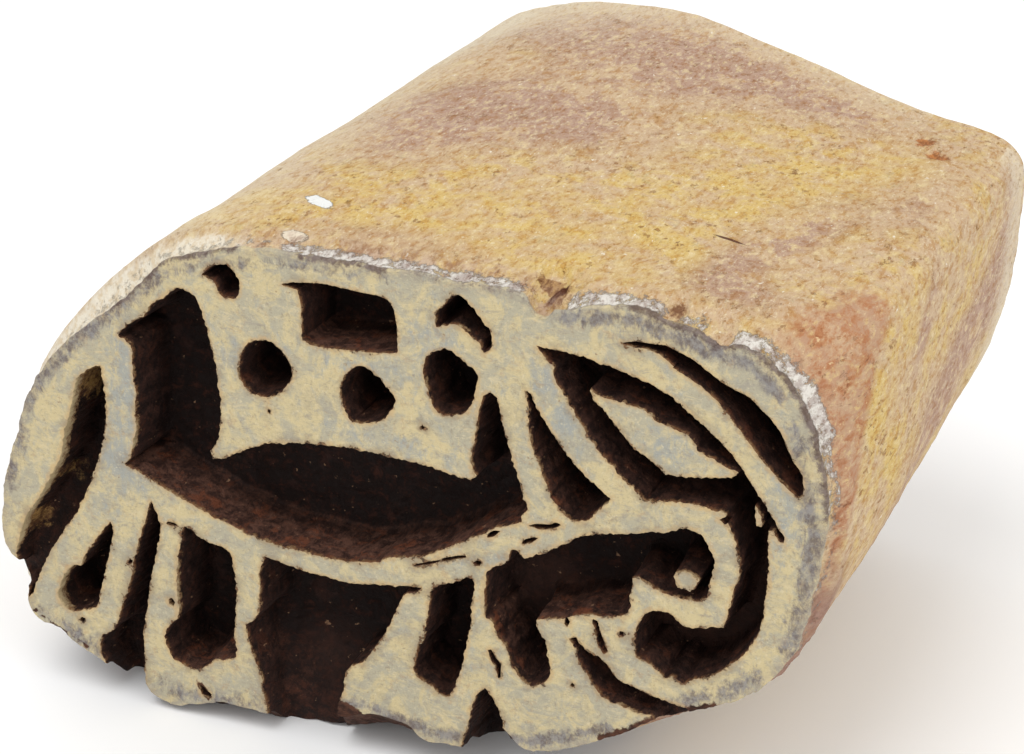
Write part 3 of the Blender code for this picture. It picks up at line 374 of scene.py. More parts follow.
# hair cracks, nicks and tool slips in the coated face, drawing millimetres
NICKS = [
    ([(-0.5, -4.5), (0.4, -4.2), (1.1, -3.9), (1.25, -3.75), (0.5, -4.02), (-0.4, -4.4)], 0.5),
    ([(1.4, -3.78), (2.2, -3.5), (2.9, -3.25), (2.9, -3.12), (2.1, -3.33), (1.4, -3.62)], 0.5),
    ([(3.4, -3.5), (3.6, -3.3), (3.9, -3.3), (3.8, -3.6), (3.55, -3.65)], 0.8),
    ([(6.9, -0.35), (7.6, -0.42), (8.3, -0.25), (8.9, 0.1), (8.6, 0.15), (8.1, -0.05), (7.4, -0.15)], 0.9),
    ([(6.5, -1.62), (7.1, -1.38), (7.5, -1.02), (7.05, -1.12), (6.55, -1.4)], 0.7),
    ([(4.3, -1.62), (4.7, -1.45), (5.1, -1.05), (4.75, -1.1), (4.35, -1.4)], 0.8),
    ([(4.3, -9.2), (4.55, -9.9), (4.8, -10.25), (4.95, -10.95), (5.1, -10.9), (5.1, -10.0), (4.75, -9.55), (4.5, -9.1)], 0.7),
    ([(12.6, -6.3), (12.65, -6.05), (12.85, -6.1), (12.85, -6.35)], 0.6),
    ([(-17.5, -5.02), (-17.0, -5.08), (-16.7, -4.98), (-17.0, -4.88), (-17.4, -4.86)], 0.6),
    ([(-17.7, -10.75), (-17.4, -10.9), (-17.25, -10.55), (-17.45, -10.3), (-17.7, -10.45)], 0.7),
    ([(-20.5, -8.4), (-20.3, -8.45), (-20.15, -8.15), (-20.35, -8.1)], 0.4),
    ([(18.4, 2.3), (18.7, 2.05), (18.95, 2.3), (18.8, 2.6)], 0.8),
    ([(15.4, 11.0), (15.7, 10.95), (16.2, 11.15), (16.0, 11.45), (15.5, 11.35)], 0.9),
    ([(-24.5, -13.4), (-24.2, -13.5), (-24.1, -13.2), (-24.35, -13.15)], 0.3),
    ([(9.2, -6.35), (9.35, -6.5), (9.5, -6.1), (9.35, -5.85), (9.25, -6.0)], 0.8),
    ([(-15.9, -16.2), (-15.7, -16.9), (-15.2, -17.1), (-15.0, -16.8), (-15.5, -16.4)], 0.5),
    ([(9.6, -10.4), (9.75, -10.5), (9.85, -10.3), (9.7, -10.2)], 0.35),
    ([(-9.95, 3.95), (-9.8, 3.85), (-9.75, 4.05), (-9.9, 4.1)], 0.25),
    ([(0.1, 4.7), (0.25, 4.6), (0.35, 4.75), (0.2, 4.85)], 0.25),
]


class Perlin:
    """Gradient noise on arrays of points."""

    def __init__(self, seed):
        rng = np.random.RandomState(seed)
        self.perm = np.concatenate([rng.permutation(256)] * 3)
        g = rng.normal(size=(256, 3))
        self.grad = g / np.linalg.norm(g, axis=1)[:, None]

    def __call__(self, p):
        p = np.asarray(p, float)
        i = np.floor(p).astype(int)
        f = p - i
        i &= 255
        u = f * f * f * (f * (f * 6 - 15) + 10)
        out = 0.0
        for dx in (0, 1):
            for dy in (0, 1):
                for dz in (0, 1):
                    h = self.perm[self.perm[self.perm[i[:, 0] + dx] + i[:, 1] + dy] + i[:, 2] + dz]
                    g = self.grad[h]
                    d = f - np.array([dx, dy, dz])
                    w = ((u[:, 0] if dx else 1 - u[:, 0]) * (u[:, 1] if dy else 1 - u[:, 1])
                         * (u[:, 2] if dz else 1 - u[:, 2]))
                    out = out + w * (g * d).sum(1)
        return out * 1.6


N1, N2, N3 = Perlin(11), Perlin(23), Perlin(37)


def smoothstep(a, b, x):
    t = np.clip((np.asarray(x, float) - a) / (b - a), 0, 1)
    return t * t * (3 - 2 * t)


def smooth_closed(points, per_span, corner_deg=48.0):
    pts = np.array(points, float)
    n = len(pts)
    prv, nxt = np.roll(pts, 1, 0), np.roll(pts, -1, 0)
    a = np.arctan2(*(nxt - pts)[:, ::-1].T) - np.arctan2(*(pts - prv)[:, ::-1].T)
    a = (a + np.pi) % (2 * np.pi) - np.pi
    corner = np.abs(np.degrees(a)) > corner_deg
    out = []
    for i in range(n):
        j = (i + 1) % n
        p0, p1 = pts[i], pts[j]
        chord = p1 - p0
        length = np.linalg.norm(chord)

        def tangent(k):
            if corner[k]:
                return chord
            v = nxt[k] - prv[k]
            return v * length / max(1e-9, np.linalg.norm(v))
        m0, m1 = tangent(i), tangent(j)
        for t in np.arange(per_span) / per_span:
            t2, t3 = t * t, t * t * t
            out.append((2 * t3 - 3 * t2 + 1) * p0 + (t3 - 2 * t2 + t) * m0
                       + (3 * t2 - 2 * t3) * p1 + (t3 - t2) * m1)
    return np.array(out)


def resample(path, count):
    """count even samples along an open path, its end left out"""
    acc = np.concatenate([[0], np.cumsum(np.linalg.norm(np.diff(path, axis=0), axis=1))])
    s = acc[-1] * np.arange(count) / count
    return np.stack([np.interp(s, acc, path[:, k]) for k in range(2)], 1)


def even_loop(points, step, corner_deg=48.0):
    curve = smooth_closed(points, 12, corner_deg)
    path = np.vstack([curve, curve[:1]])
    length = np.linalg.norm(np.diff(path, axis=0), axis=1).sum()
    loop = resample(path, max(8, int(round(length / step))))
    k = np.arange(len(loop))                 # no three samples exactly in line
    return loop + 0.006 * np.stack([np.sin(k * 12.9898), np.sin(k * 78.233 + 1.0)], 1)


def loop_area(loop):
    x, z = loop[:, 0], loop[:, 1]
    return 0.5 * np.sum(x * np.roll(z, -1) - np.roll(x, -1) * z)


def loop_normals(loop, reach=2):
    """unit normals out of a counter-clockwise loop (towards the other side if clockwise)"""
    t = np.roll(loop, -reach, 0) - np.roll(loop, reach, 0)
    t /= np.maximum(1e-9, np.linalg.norm(t, axis=1))[:, None]
    return np.stack([t[:, 1], -t[:, 0]], 1)


def inside(points, loops):
    """even-odd test"""
    points = np.asarray(points, float)
    hit = np.zeros(len(points), bool)
    for loop in loops:
        a, b = loop, np.roll(loop, -1, 0)
        for k in range(0, len(points), 4000):
            p = points[k:k + 4000]
            cross = (a[None, :, 1] > p[:, None, 1]) != (b[None, :, 1] > p[:, None, 1])
            dz = b[:, 1] - a[:, 1]
            dz = np.where(np.abs(dz) < 1e-12, 1e-12, dz)
            xi = a[None, :, 0] + (p[:, None, 1] - a[None, :, 1]) * ((b - a)[:, 0] / dz)[None]
            hit[k:k + 4000] ^= (np.sum(cross & (p[:, None, 0] < xi), 1) % 2).astype(bool)
    return hit


class Nearest:
    """distance from points to the nearest of many curve samples, on a coarse grid"""

    def __init__(self, samples):
        from mathutils import kdtree
        self.tree = kdtree.KDTree(len(samples))
        for k, (x, z) in enumerate(samples):
            self.tree.insert((x, z, 0.0), k)
        self.tree.balance()

    def __call__(self, pts):
        return np.array([self.tree.find((x, z, 0.0))[2] for x, z in pts])


def fill(loops, spacing, seed, edge_gap=0.6):
    """triangles over the area inside the loops, with jittered inner points.
    Returns (points, triangles); the loops' own points come first, in order."""
    flat = np.vstack(loops)
    edges, start = [], 0
    for loop in loops:
        m = len(loop)
        edges += [(start + i, start + (i + 1) % m) for i in range(m)]
        start += m
    pts = [Vector(p) for p in flat]
    if spacing:
        lo, hi = flat.min(0), flat.max(0)
        rng = np.random.RandomState(seed)
        gx, gz = np.meshgrid(np.arange(lo[0], hi[0], spacing), np.arange(lo[1], hi[1], spacing * 0.87))
        gx = gx + (np.arange(gx.shape[0]) % 2)[:, None] * spacing * 0.5
        grid = np.stack([gx.ravel(), gz.ravel()], 1)
        grid += rng.uniform(-0.22, 0.22, grid.shape) * spacing
        grid = grid[inside(grid, loops)]
        if len(grid):
            grid = grid[Nearest(flat)(grid) > spacing * edge_gap]
            pts += [Vector(p) for p in grid]
    vo, _, fo, orig, _, _ = delaunay_2d_cdt(pts, edges, [], 0, 1e-6)
    vo = np.array([tuple(v) for v in vo])
    tri = np.array([f for f in fo if len(f) == 3], int)
    back = np.array([o[0] if o else -1 for o in orig])
    keep = inside(vo[tri].mean(1), loops)
    tri = tri[keep]
    if (back < 0).any() or len(vo) != len(pts):
        # a crossing made a point: keep the triangulation's own order
        return vo, tri, False
    tri = back[tri]
    return np.array([tuple(p) for p in pts]), tri, True


def to_frame(p):
    return np.asarray(p, float) - np.array([CENTRE_X, CENTRE_Y, REST_Z])


def mesh_from(name, verts, faces):
    me = bpy.data.meshes.new(name)
    me.from_pydata((to_frame(verts) * MM).tolist(), [], [tuple(int(i) for i in f) for f in faces])
    me.validate()
    bm = bmesh.new()
    bm.from_mesh(me)
    bmesh.ops.recalc_face_normals(bm, faces=bm.faces)
    bm.to_mesh(me)
    bm.free()
    return me


def obj_from(name, verts, faces, tag=0.0):
    ob = bpy.data.objects.new(name, mesh_from(name, verts, faces))
    me = ob.data
    me.attributes.new("rec", "FLOAT", "FACE").data.foreach_set("value", np.full(len(me.polygons), tag, np.float32))
    bpy.context.scene.collection.objects.link(ob)
    return ob


def back_y(x):
    return BACK_Y + BACK_SLOPE * (BACK_X - x)


# ---------------------------------------------------------------- the block
PER = 26                     # samples for each section station


def build_block():
    fine = 24
    curve = smooth_closed(FACE, fine)
    total = len(SEC_NEAR)
    face = []
    for i, (point, station) in enumerate(LANDMARKS):
        nxt_point, nxt_station = LANDMARKS[(i + 1) % len(LANDMARKS)]
        a, b = FACE.index(point) * fine, FACE.index(nxt_point) * fine
        if b <= a:
            b += len(curve)
        path = curve[np.arange(a, b + 1) % len(curve)]
        face.append(resample(path, ((nxt_station - station) % total) * PER))
    face = np.vstack(face)
    near, mid, full, back = (smooth_closed(s, PER, 75.0) for s in (SEC_NEAR, SEC_MID, SEC_FULL, SEC_BACK))
    out_n = -loop_normals(face, 3)         # these loops run clockwise
    assert loop_area(face) < 0

    def jag(loop, y, amp, f1=0.9, f2=3.1):
        p = np.c_[loop[:, 0] * f1, np.full(len(loop), y * 0.8), loop[:, 1] * f1]
        q = np.c_[loop[:, 0] * f2, np.full(len(loop), y * 2.4), loop[:, 1] * f2]
        return loop + out_n * (amp * (N1(p) + 0.5 * N2(q)))[:, None]

    rings = []
    for y, grow in ((0.0, -0.09), (0.04, -0.04), (0.13, 0.0), (0.26, 0.01), (0.42, 0.02)):
        ring = jag(face + out_n * grow, 0.0, 0.13)
        rings.append(np.c_[ring[:, 0], np.full(len(ring), y), ring[:, 1]])
    for y in (0.6, 0.8, 1.0, 1.2, 1.4, 1.6, 1.8, 2.0):
        t = (y - 0.42) / (NEAR_Y - 0.42)
        t = 0.55 * t + 0.45 * smoothstep(0, 1, t)
        ring = jag(face + (near - face) * t, y, 0.13)
        rings.append(np.c_[ring[:, 0], np.full(len(ring), y), ring[:, 1]])
    for y in (2.2, 2.5, 2.8, 3.2, 3.6, 4.1, 4.6, 5.2, 5.9, 6.6, 7.4, 8.2, 9.1, 10.0):
        if y <= MID_Y:
            s = near + (mid - near) * (y - NEAR_Y) / (MID_Y - NEAR_Y)
        else:
            s = mid + (full - mid) * (y - MID_Y) / (FULL_Y - MID_Y)
        rings.append(np.c_[s[:, 0], np.full(len(s), y), s[:, 1]])
    steps = 34
    for k in range(1, steps + 1):
        t = k / steps * 0.965
        s = full + (back - full) * t
        rings.append(np.c_[s[:, 0], FULL_Y + (back_y(s[:, 0]) - FULL_Y) * t, s[:, 1]])
    r = BACK_ROUND
    bn = -loop_normals(back, 8)
    for deg in (8, 25, 42, 60, 76, 90):
        a = math.radians(deg)
        s = back - bn * r * (1 - math.cos(a))
        rings.append(np.c_[s[:, 0], back_y(s[:, 0]) - r + r * math.sin(a), s[:, 1]])
    n = len(face)
    verts = np.vstack(rings)
    faces = []
    idx = np.arange(n)
    nxt = (idx + 1) % n
    for k in range(len(rings) - 1):
        faces += np.stack([k * n + idx, k * n + nxt, (k + 1) * n + nxt, (k + 1) * n + idx], 1).tolist()
    # hand-worked surface: broad waves, small facets, a torn patch behind the front edge
    body = np.arange(n * 13, len(verts))
    p = verts[body]
    nor = np.zeros_like(p)
    for k in range(13, len(rings)):
        ln = -loop_normals(rings[k][:, [0, 2]], 4)
        nor[(k - 13) * n:(k - 12) * n] = np.c_[ln[:, 0], np.zeros(n), ln[:, 1]]
    amp = (0.16 * N1(p / 9.0) + 0.07 * N2(p / np.array([4.5, 2.4, 2.4]))
           + 0.045 * N3(p / np.array([1.7, 0.8, 0.8])) + 0.02 * N2(p / np.array([0.9, 0.42, 0.42])) - 0.05)
    fade = smoothstep(2.2, 4.0, p[:, 1])
    verts[body] = p + nor * (amp * (0.3 + 0.7 * fade))[:, None]
    # chip out of the top edge over the neck, and a small one over the head
    def dent(cx, cy, rx, ry, deep, zmin=10.0):
        d = ((verts[:, 0] - cx) / rx) ** 2 + ((verts[:, 1] - cy) / ry) ** 2
        q = np.c_[verts[:, 0] * 1.8, verts[:, 1] * 1.8, verts[:, 2] * 0.2]
        w = np.clip(1 - d * (1 + 0.5 * N3(q)), 0, 1) ** 0.7 * (verts[:, 2] > zmin)
        verts[:, 2] -= deep * w
    dent(7.6, 1.6, 1.0, 2.0, 0.75)
    dent(8.8, 2.2, 0.8, 1.3, 0.35)
    dent(15.0, 1.3, 0.8, 1.2, 0.4)
    dent(18.2, 0.8, 0.6, 1.0, 0.3)
    dent(20.7, 34.9, 0.8, 0.9, 0.25)
    dent(22.0, 32.8, 1.0, 0.9, 0.3)
    verts[:, 2] = np.maximum(verts[:, 2], REST_Z)
    # front and back closed by filled caps
    front, tri, ok = fill([rings[0][:, [0, 2]]], 0.36, 5)
    assert ok
    extra = front[n:]
    wob = 0.025 + 0.03 * N1(np.c_[extra[:, 0] * 0.5, extra[:, 1] * 0.5, np.zeros(len(extra))]) \
        + 0.012 * N2(np.c_[extra[:, 0] * 2.2, extra[:, 1] * 2.2, np.zeros(len(extra))])
    base = len(verts)
    verts = np.vstack([verts, np.c_[extra[:, 0], np.maximum(0.0, wob), extra[:, 1]]])
    remap = np.r_[np.arange(n), base + np.arange(len(extra))]
    faces += remap[tri].tolist()
    last = (len(rings) - 1) * n
    bk, tri, ok = fill([rings[-1][:, [0, 2]]], 1.6, 6)
    assert ok
    extra = bk[n:]
    base = len(verts)
    yb = back_y(extra[:, 0]) - 0.10 + 0.09 * N1(np.c_[extra[:, 0] * 0.25, extra[:, 1] * 0.25, np.zeros(len(extra))])
    verts = np.vstack([verts, np.c_[extra[:, 0], yb, extra[:, 1]]])
    remap = np.r_[last + np.arange(n), base + np.arange(len(extra))]
    faces += remap[tri].tolist()
    lo, hi = (np.array(b) / MM + np.array([CENTRE_X, CENTRE_Y, REST_Z]) for b in CAD_BOX)
    verts = np.clip(verts, lo + 0.004, hi - 0.004)
    return obj_from("carved_relief_block", verts, faces), face


# ------------------------------------------------------------- the recesses
def floor_depth(slope, p):
    if slope is None:
        return np.full(len(p), DEPTH)
    (ax, az, ad), (bx, bz, bd) = slope
    dx, dz = bx - ax, bz - az
    t = ((p[:, 0] - ax) * dx + (p[:, 1] - az) * dz) / (dx * dx + dz * dz)
    return ad + (bd - ad) * np.clip(t, 0, 1)


def half_width(loops, away):
    """for each loop sample, about half the free width straight across from it:
    (over the recess, over the wood)"""
    flat = np.vstack(loops)
    out = []
    for loop, aw in zip(loops, away):
        d = flat[None] - loop[:, None]
        dist = np.linalg.norm(d, axis=2)
        along = (d * aw[:, None]).sum(2)
        pair = []
        for sign in (-1, 1):
            ok = (sign * along > 0.45 * dist) & (dist > 0.05)
            pair.append(np.where(ok, dist, 9.0).min(1) * 0.5)
        out.append(pair)
    return out


def build_recess(name, outline, islands, slope, depth=None, step=0.11, seed=0):
    for wild in (1.0, 0.7, 0.45, 0.2, 0.0):              # calmer walls where a corner would fold over
        try:
            return shape_recess(name, outline, islands, slope, depth, step, seed, wild)
        except RuntimeError:
            if wild == 0.0:
                raise


def shape_recess(name, outline, islands, slope, depth, step, seed, wild):
    loops = [even_loop(outline, step)] + [even_loop(i, step) for i in islands]
    away = []
    for k, loop in enumerate(loops):
        nrm = loop_normals(loop) * (1 if loop_area(loop) > 0 else -1)   # out of the loop
        away.append(nrm if k == 0 else -nrm)                            # into the wood
    pairs = half_width(loops, away)
    wide = [p[0] for p in pairs]
    wood = [p[1] for p in pairs]
    if depth is None:
        levels = [(-0.6, 0.07), (-0.02, 0.06), (0.05, 0.02), (0.14, 0.0)]
        rel = [0.14, 0.27, 0.42, 0.58, 0.74, 0.88, 0.96, 1.0]
    else:
        levels = [(-0.6, 0.02), (-0.02, 0.02)]
        rel = [0.5, 1.0]
    rings = []
    for y, off in levels:
        row = []
        for k, loop in enumerate(loops):
            q = np.c_[loop[:, 0] * 2.6, np.full(len(loop), 7.0 + seed), loop[:, 1] * 2.6]
            r = np.c_[loop[:, 0] * 4.2, np.full(len(loop), 3.0 + seed), loop[:, 1] * 4.2]
            j = (0.085 * N1(q) + 0.085 * N2(r)) * (1.0 if depth is None else 0.3)
            j = np.clip(j, -0.3 * wide[k], 0.22 * wood[k])
            o = np.minimum(off, 0.25 * wood[k])
            row.append(np.c_[loop + away[k] * (o + wild * j)[:, None], np.full(len(loop), y)])
        rings.append(row)
    for f in rel:
        row = []
        for k, loop in enumerate(loops):
            d = floor_depth(slope, loop) if depth is None else np.full(len(loop), depth)
            y = 0.16 + (d - 0.16) * f
            q = np.c_[loop[:, 0] * 1.1, y * 0.5 + seed, loop[:, 1] * 1.1]
            r = np.c_[loop[:, 0] * 3.4, y * 0.9, loop[:, 1] * 3.4]
            q0 = np.c_[loop[:, 0] * 2.6, np.full(len(loop), 7.0 + seed), loop[:, 1] * 2.6]
            r0 = np.c_[loop[:, 0] * 4.2, np.full(len(loop), 3.0 + seed), loop[:, 1] * 4.2]
            top = (0.085 * N1(q0) + 0.085 * N2(r0)) * max(0.0, 1 - 2.5 * f)
            j = top + f ** 0.5 * (0.16 * N3(q) + 0.09 * N1(r)) - 0.22 * f
            j = np.clip(j, -0.55 * wide[k], np.minimum(0.10, 0.22 * wood[k]))
            if depth is not None:
                j = np.full(len(loop), 0.0)
            elif f > 0.9:
                j = np.maximum(j - (0.10 if f < 1 else 0.24), -0.6 * wide[k])
            row.append(np.c_[loop + away[k] * (wild * j)[:, None], y])
        rings.append(row)
    count = sum(len(l) for l in loops)
    verts, faces = [], []
    for row in rings:
        for part in row:
            verts.append(np.c_[part[:, 0], part[:, 2], part[:, 1]])
    verts = np.vstack(verts)
    for lv in range(len(rings) - 1):
        start = 0
        for loop in loops:
            m = len(loop)
            i = np.arange(m)
            a, b = start + i, start + (i + 1) % m
            faces += np.stack([lv * count + a, lv * count + b, (lv + 1) * count + b, (lv + 1) * count + a], 1).tolist()
            start += m
    for lv, spacing in ((0, None), (len(rings) - 1, 0.4)):
        row = [part[:, :2] for part in rings[lv]]
        pts, tri, ok = fill(row, spacing, 31 + seed)
        if not ok:
            raise RuntimeError(f"recess {name}: its outline crosses itself at level {lv}")
        extra = pts[count:]
        base = len(verts)
        if len(extra):
            d = floor_depth(slope, extra) if depth is None else np.full(len(extra), depth)
            near_edge = smoothstep(0.0, 1.2, Nearest(np.vstack(row))(extra))
            y = d + 0.10 * near_edge + near_edge * (
                0.20 * N1(np.c_[extra[:, 0] * 0.55, extra[:, 1] * 0.85, np.full(len(extra), 2.0)])
                + 0.12 * N2(np.c_[extra[:, 0] * 1.3, extra[:, 1] * 2.0, np.full(len(extra), 5.0)]))
            verts = np.vstack([verts, np.c_[extra[:, 0], y, extra[:, 1]]])
        remap = np.r_[lv * count + np.arange(count), base + np.arange(len(extra))]
        faces += remap[tri].tolist()
    return obj_from("cut_" + name, verts, faces, 1.0), loops


def cut_all(block):
    cutters, curves = [], []
    for k, (name, outline, islands, slope) in enumerate(RECESSES):
        ob, loops = build_recess(name, outline, islands, slope, seed=k)
        cutters.append(ob)
        curves.append((loops, slope, None))
    for k, (outline, depth) in enumerate(NICKS):
        ob, loops = build_recess(f"nick_{k}", outline, [], None, depth=depth, step=0.09, seed=50 + k)
        cutters.append(ob)
        curves.append((loops, None, depth))
    for ob in cutters:
        mod = block.modifiers.new(ob.name, "BOOLEAN")
        mod.operation = "DIFFERENCE"
        mod.solver = "MANIFOLD"
        mod.object = ob
    dg = bpy.context.evaluated_depsgraph_get()
    me = bpy.data.meshes.new_from_object(block.evaluated_get(dg))
    block.modifiers.clear()
    old = block.data
    block.data = me
    bpy.data.meshes.remove(old)
    for ob in cutters:
        bpy.data.objects.remove(ob, do_unlink=True)
    return curves


# -------------------------------------------------------- painted attributes
def blob(u, v, cu, cv, ru, rv, turn=0.0):
    a = math.radians(turn)
    du, dv = u - cu, v - cv
    p = (du * math.cos(a) + dv * math.sin(a)) / ru
    q = (-du * math.sin(a) + dv * math.cos(a)) / rv
    return np.exp(-(p * p + q * q))


def near_line(u, v, pts, width):
    """1 on a polyline, falling off over width"""
    best = np.full(len(u), 1e9)
    for (ax, az), (bx, bz) in zip(pts[:-1], pts[1:]):
        dx, dz = bx - ax, bz - az
        t = np.clip(((u - ax) * dx + (v - az) * dz) / (dx * dx + dz * dz), 0, 1)
        best = np.minimum(best, np.hypot(u - ax - t * dx, v - az - t * dz))
    return np.exp(-(best / width) ** 2)


def paint(block, face_curve, curves):
    me = block.data
    n = len(me.vertices)
    co = np.empty(n * 3)
    me.vertices.foreach_get("co", co)
    p = co.reshape(-1, 3) / MM + np.array([CENTRE_X, CENTRE_Y, REST_Z])
    nor = np.empty(n * 3)
    me.vertex_normals.foreach_get("vector", nor)
    nor = nor.reshape(-1, 3)
    x, y, z = p.T
    outlines = np.vstack([l for loops, _, _ in curves for l in loops])
    big = np.vstack([l for loops, _, d in curves if d is None for l in loops])
    front = y < 6.0
    edge = np.full(n, 4.0)
    rim = np.full(n, 6.0)
    edge[front] = np.minimum(Nearest(outlines)(p[front][:, [0, 2]]), 4.0)
    dense = np.vstack([face_curve[k::2] for k in (0,)])
    rim[front] = np.minimum(Nearest(dense)(p[front][:, [0, 2]]), 6.0)
    a = {"edge": edge, "rim": rim}

    top = smoothstep(0.25, 0.7, nor[:, 2])
    a["side"] = smoothstep(0.45, 0.85, nor[:, 0]) * (x > 15)
    left = smoothstep(-0.35, -0.8, nor[:, 0]) * smoothstep(4, 9, y) * smoothstep(13, -1, z + 3.0 * np.sin(0.17 * y) + 1.5 * np.sin(0.43 * y + 1))
    sole = smoothstep(-0.5, -0.9, nor[:, 2]) * (y > 1)
    a["sawn"] = smoothstep(0.55, 0.9, 0.309 * nor[:, 0] + 0.951 * nor[:, 1]) * (y > 30)
    # broad colour of the bare wood
    pink = (0.9 * blob(x, y, -3, 25, 11, 6.5, -8) + 0.8 * blob(x, y, 17.5, 13, 2.6, 10, -14)
            + 0.6 * blob(x, y, -9, 20, 5, 8, 0) + 0.8 * blob(x, y, -3, 42, 16, 6, -14)
            + 0.6 * blob(x, y, 14, 37, 8, 3.5, -14) + 0.4 * blob(x, y, 2, 34, 9, 4, -10)
            + 0.5 * blob(x, y, -3, 3.2, 8, 2.2, 0) + 0.5 * blob(x, y, 18.5, 4.5, 3.5, 2.5, 0)
            + 0.5 * blob(x, y, 23.5, 24, 2.5, 9, 0)) * smoothstep(-2, 2, z)
    sidepink = (0.9 * blob(y, z, 27, 4, 14, 3.2, 12) + 0.8 * blob(y, z, 15, 9.5, 5, 1.5, 40)
                + 0.8 * blob(y, z, 36, 9, 4, 6, 0) + 0.6 * blob(y, z, 16, -2, 10, 2, 25))
    leftpink = (0.9 * blob(y, z, 21, -1, 8, 4, 25) + 0.8 * blob(y, z, 44, -3, 5, 9, 0) + 0.6 * blob(y, z, 9, -9, 5, 4, 0)
                + 0.6 * blob(y, z, 33, 9, 7, 2, 10))
    solepink = 0.8 * blob(x, y, -8, 16, 8, 4, 30) + 0.8 * blob(x, y, 9, 34, 7, 6, 0) + 0.6 * blob(x, y, -14, 40, 6, 5, 0)
    a["pink"] = np.clip((pink * (1 - a["side"]) + sidepink * a["side"]) * (1 - left) + 0.75 * leftpink * left + solepink * sole, 0, 1)
    gold = (1.0 * blob(x, y, 5, 7, 15, 9, 0) + 0.6 * blob(x, y, -9, 6, 6, 4.5, 0) + 0.9 * blob(x, y, -15, 4.5, 3.5, 3.5, 0) + 0.5 * blob(x, y, 16, 17, 6, 6, 0) + 0.8 * blob(x, y, 13, 24, 8, 8, 0) + 0.8 * blob(x, y, 21, 30, 3, 6, 0))
    sidegold = 1.0 * blob(y, z, 9, 4, 3.2, 9, 35) + 0.8 * blob(y, z, 12, 11, 5, 2, 30) + 0.5 * blob(y, z, 22, 7, 8, 2.5, 20)
    leftgold = (0.9 * blob(y, z, 32, 3, 6, 6, 30) + 0.8 * blob(y, z, 11, 3, 5, 4, 0) + 0.7 * blob(y, z, 36, -13, 9, 3, 0))
    a["gold"] = np.clip((gold * (1 - a["side"]) + sidegold * a["side"]) * (1 - left) + 0.75 * leftgold * left, 0, 1)
    # paler wood on the tail side and towards the back, partly painted highlight: the tail-side edge and the right side
    # near the back are lightened as if catching light
    a["pale_and_highlight"] = np.clip(smoothstep(-9.5, -19, x) * (0.8 + 0.2 * smoothstep(5, 40, y))
                        + 0.6 * smoothstep(36, 46, y - 0.0 * x) * smoothstep(4, -14, x)
                        + 0.5 * smoothstep(back_y(x) - 6, back_y(x), y) * (x < 20)
                        + 0.9 * smoothstep(back_y(x) - 7, back_y(x) - 2, y) * (nor[:, 0] > 0.5), 0, 1)
    a["pale_and_highlight"] *= (1 - 0.85 * left) * (1 - 0.8 * a["sawn"]) * (1 - 0.7 * sole)
    # reddish facet beside the head and the strip under it
    ridge_y = np.interp(z, [-3.5, -0.6, 2.1, 4.2, 7.7, 10.7, 13.0], [1.2, 1.4, 1.9, 3.2, 4.6, 6.6, 9.5])
    a["facet"] = np.clip(smoothstep(ridge_y + 0.7, ridge_y - 0.5, y) * smoothstep(19.5, 22.0, x)
                         * smoothstep(0.5, 1.1, y) * smoothstep(0.02, 0.35, nor[:, 0]), 0, 1)
    a["low"] = np.clip(smoothstep(1.5, -3.0, z) * smoothstep(5.5, 2.5, y) * smoothstep(12, 15, x) * (y > 0.05), 0, 1)
    # chalk pressed over the front edge
    run = (0.95 * smoothstep(-9.5, -8.0, x) * smoothstep(6.8, 6.2, x)
           + 0.95 * smoothstep(8.6, 9.3, x) * smoothstep(14.9, 14.4, x)
           + 0.6 * smoothstep(15.0, 15.4, x) * smoothstep(17.4, 16.8, x)
           + 1.05 * smoothstep(18.0, 18.8, x)) * (0.30 + 0.28 * smoothstep(1.5, 4.5, z) + 0.42 * smoothstep(6.5, 8.5, z))
    run = run * (z > -8)
    run = np.maximum(run, 0.36 * (x < -8.8) * smoothstep(-9.0, -4.0, z))
    reach = np.where(x > 17.5, 1.35, np.where(x > 8.5, 1.4, 1.15))
    where = np.where(x < -9, smoothstep(0.10, 0.3, y) * smoothstep(1.8, 0.8, y),
                     smoothstep(0.10, 0.28, y) * smoothstep(reach + 0.35, reach - 0.35, y))
    a["chalk"] = np.clip(run * where, 0, 1)
    a["wash"] = np.clip(0.9 * smoothstep(-9.5, -15.5, x) * smoothstep(2.4, 0.7, y) * smoothstep(0.05, 0.25, y)
                        + 0.5 * smoothstep(-18.5, -21.5, x) * smoothstep(9.0, 3.0, y) * (y > 0.1)
                        + 0.4 * smoothstep(-8.0, -12.5, x) * smoothstep(2.2, 0.8, y) * (y > 0.1), 0, 1)
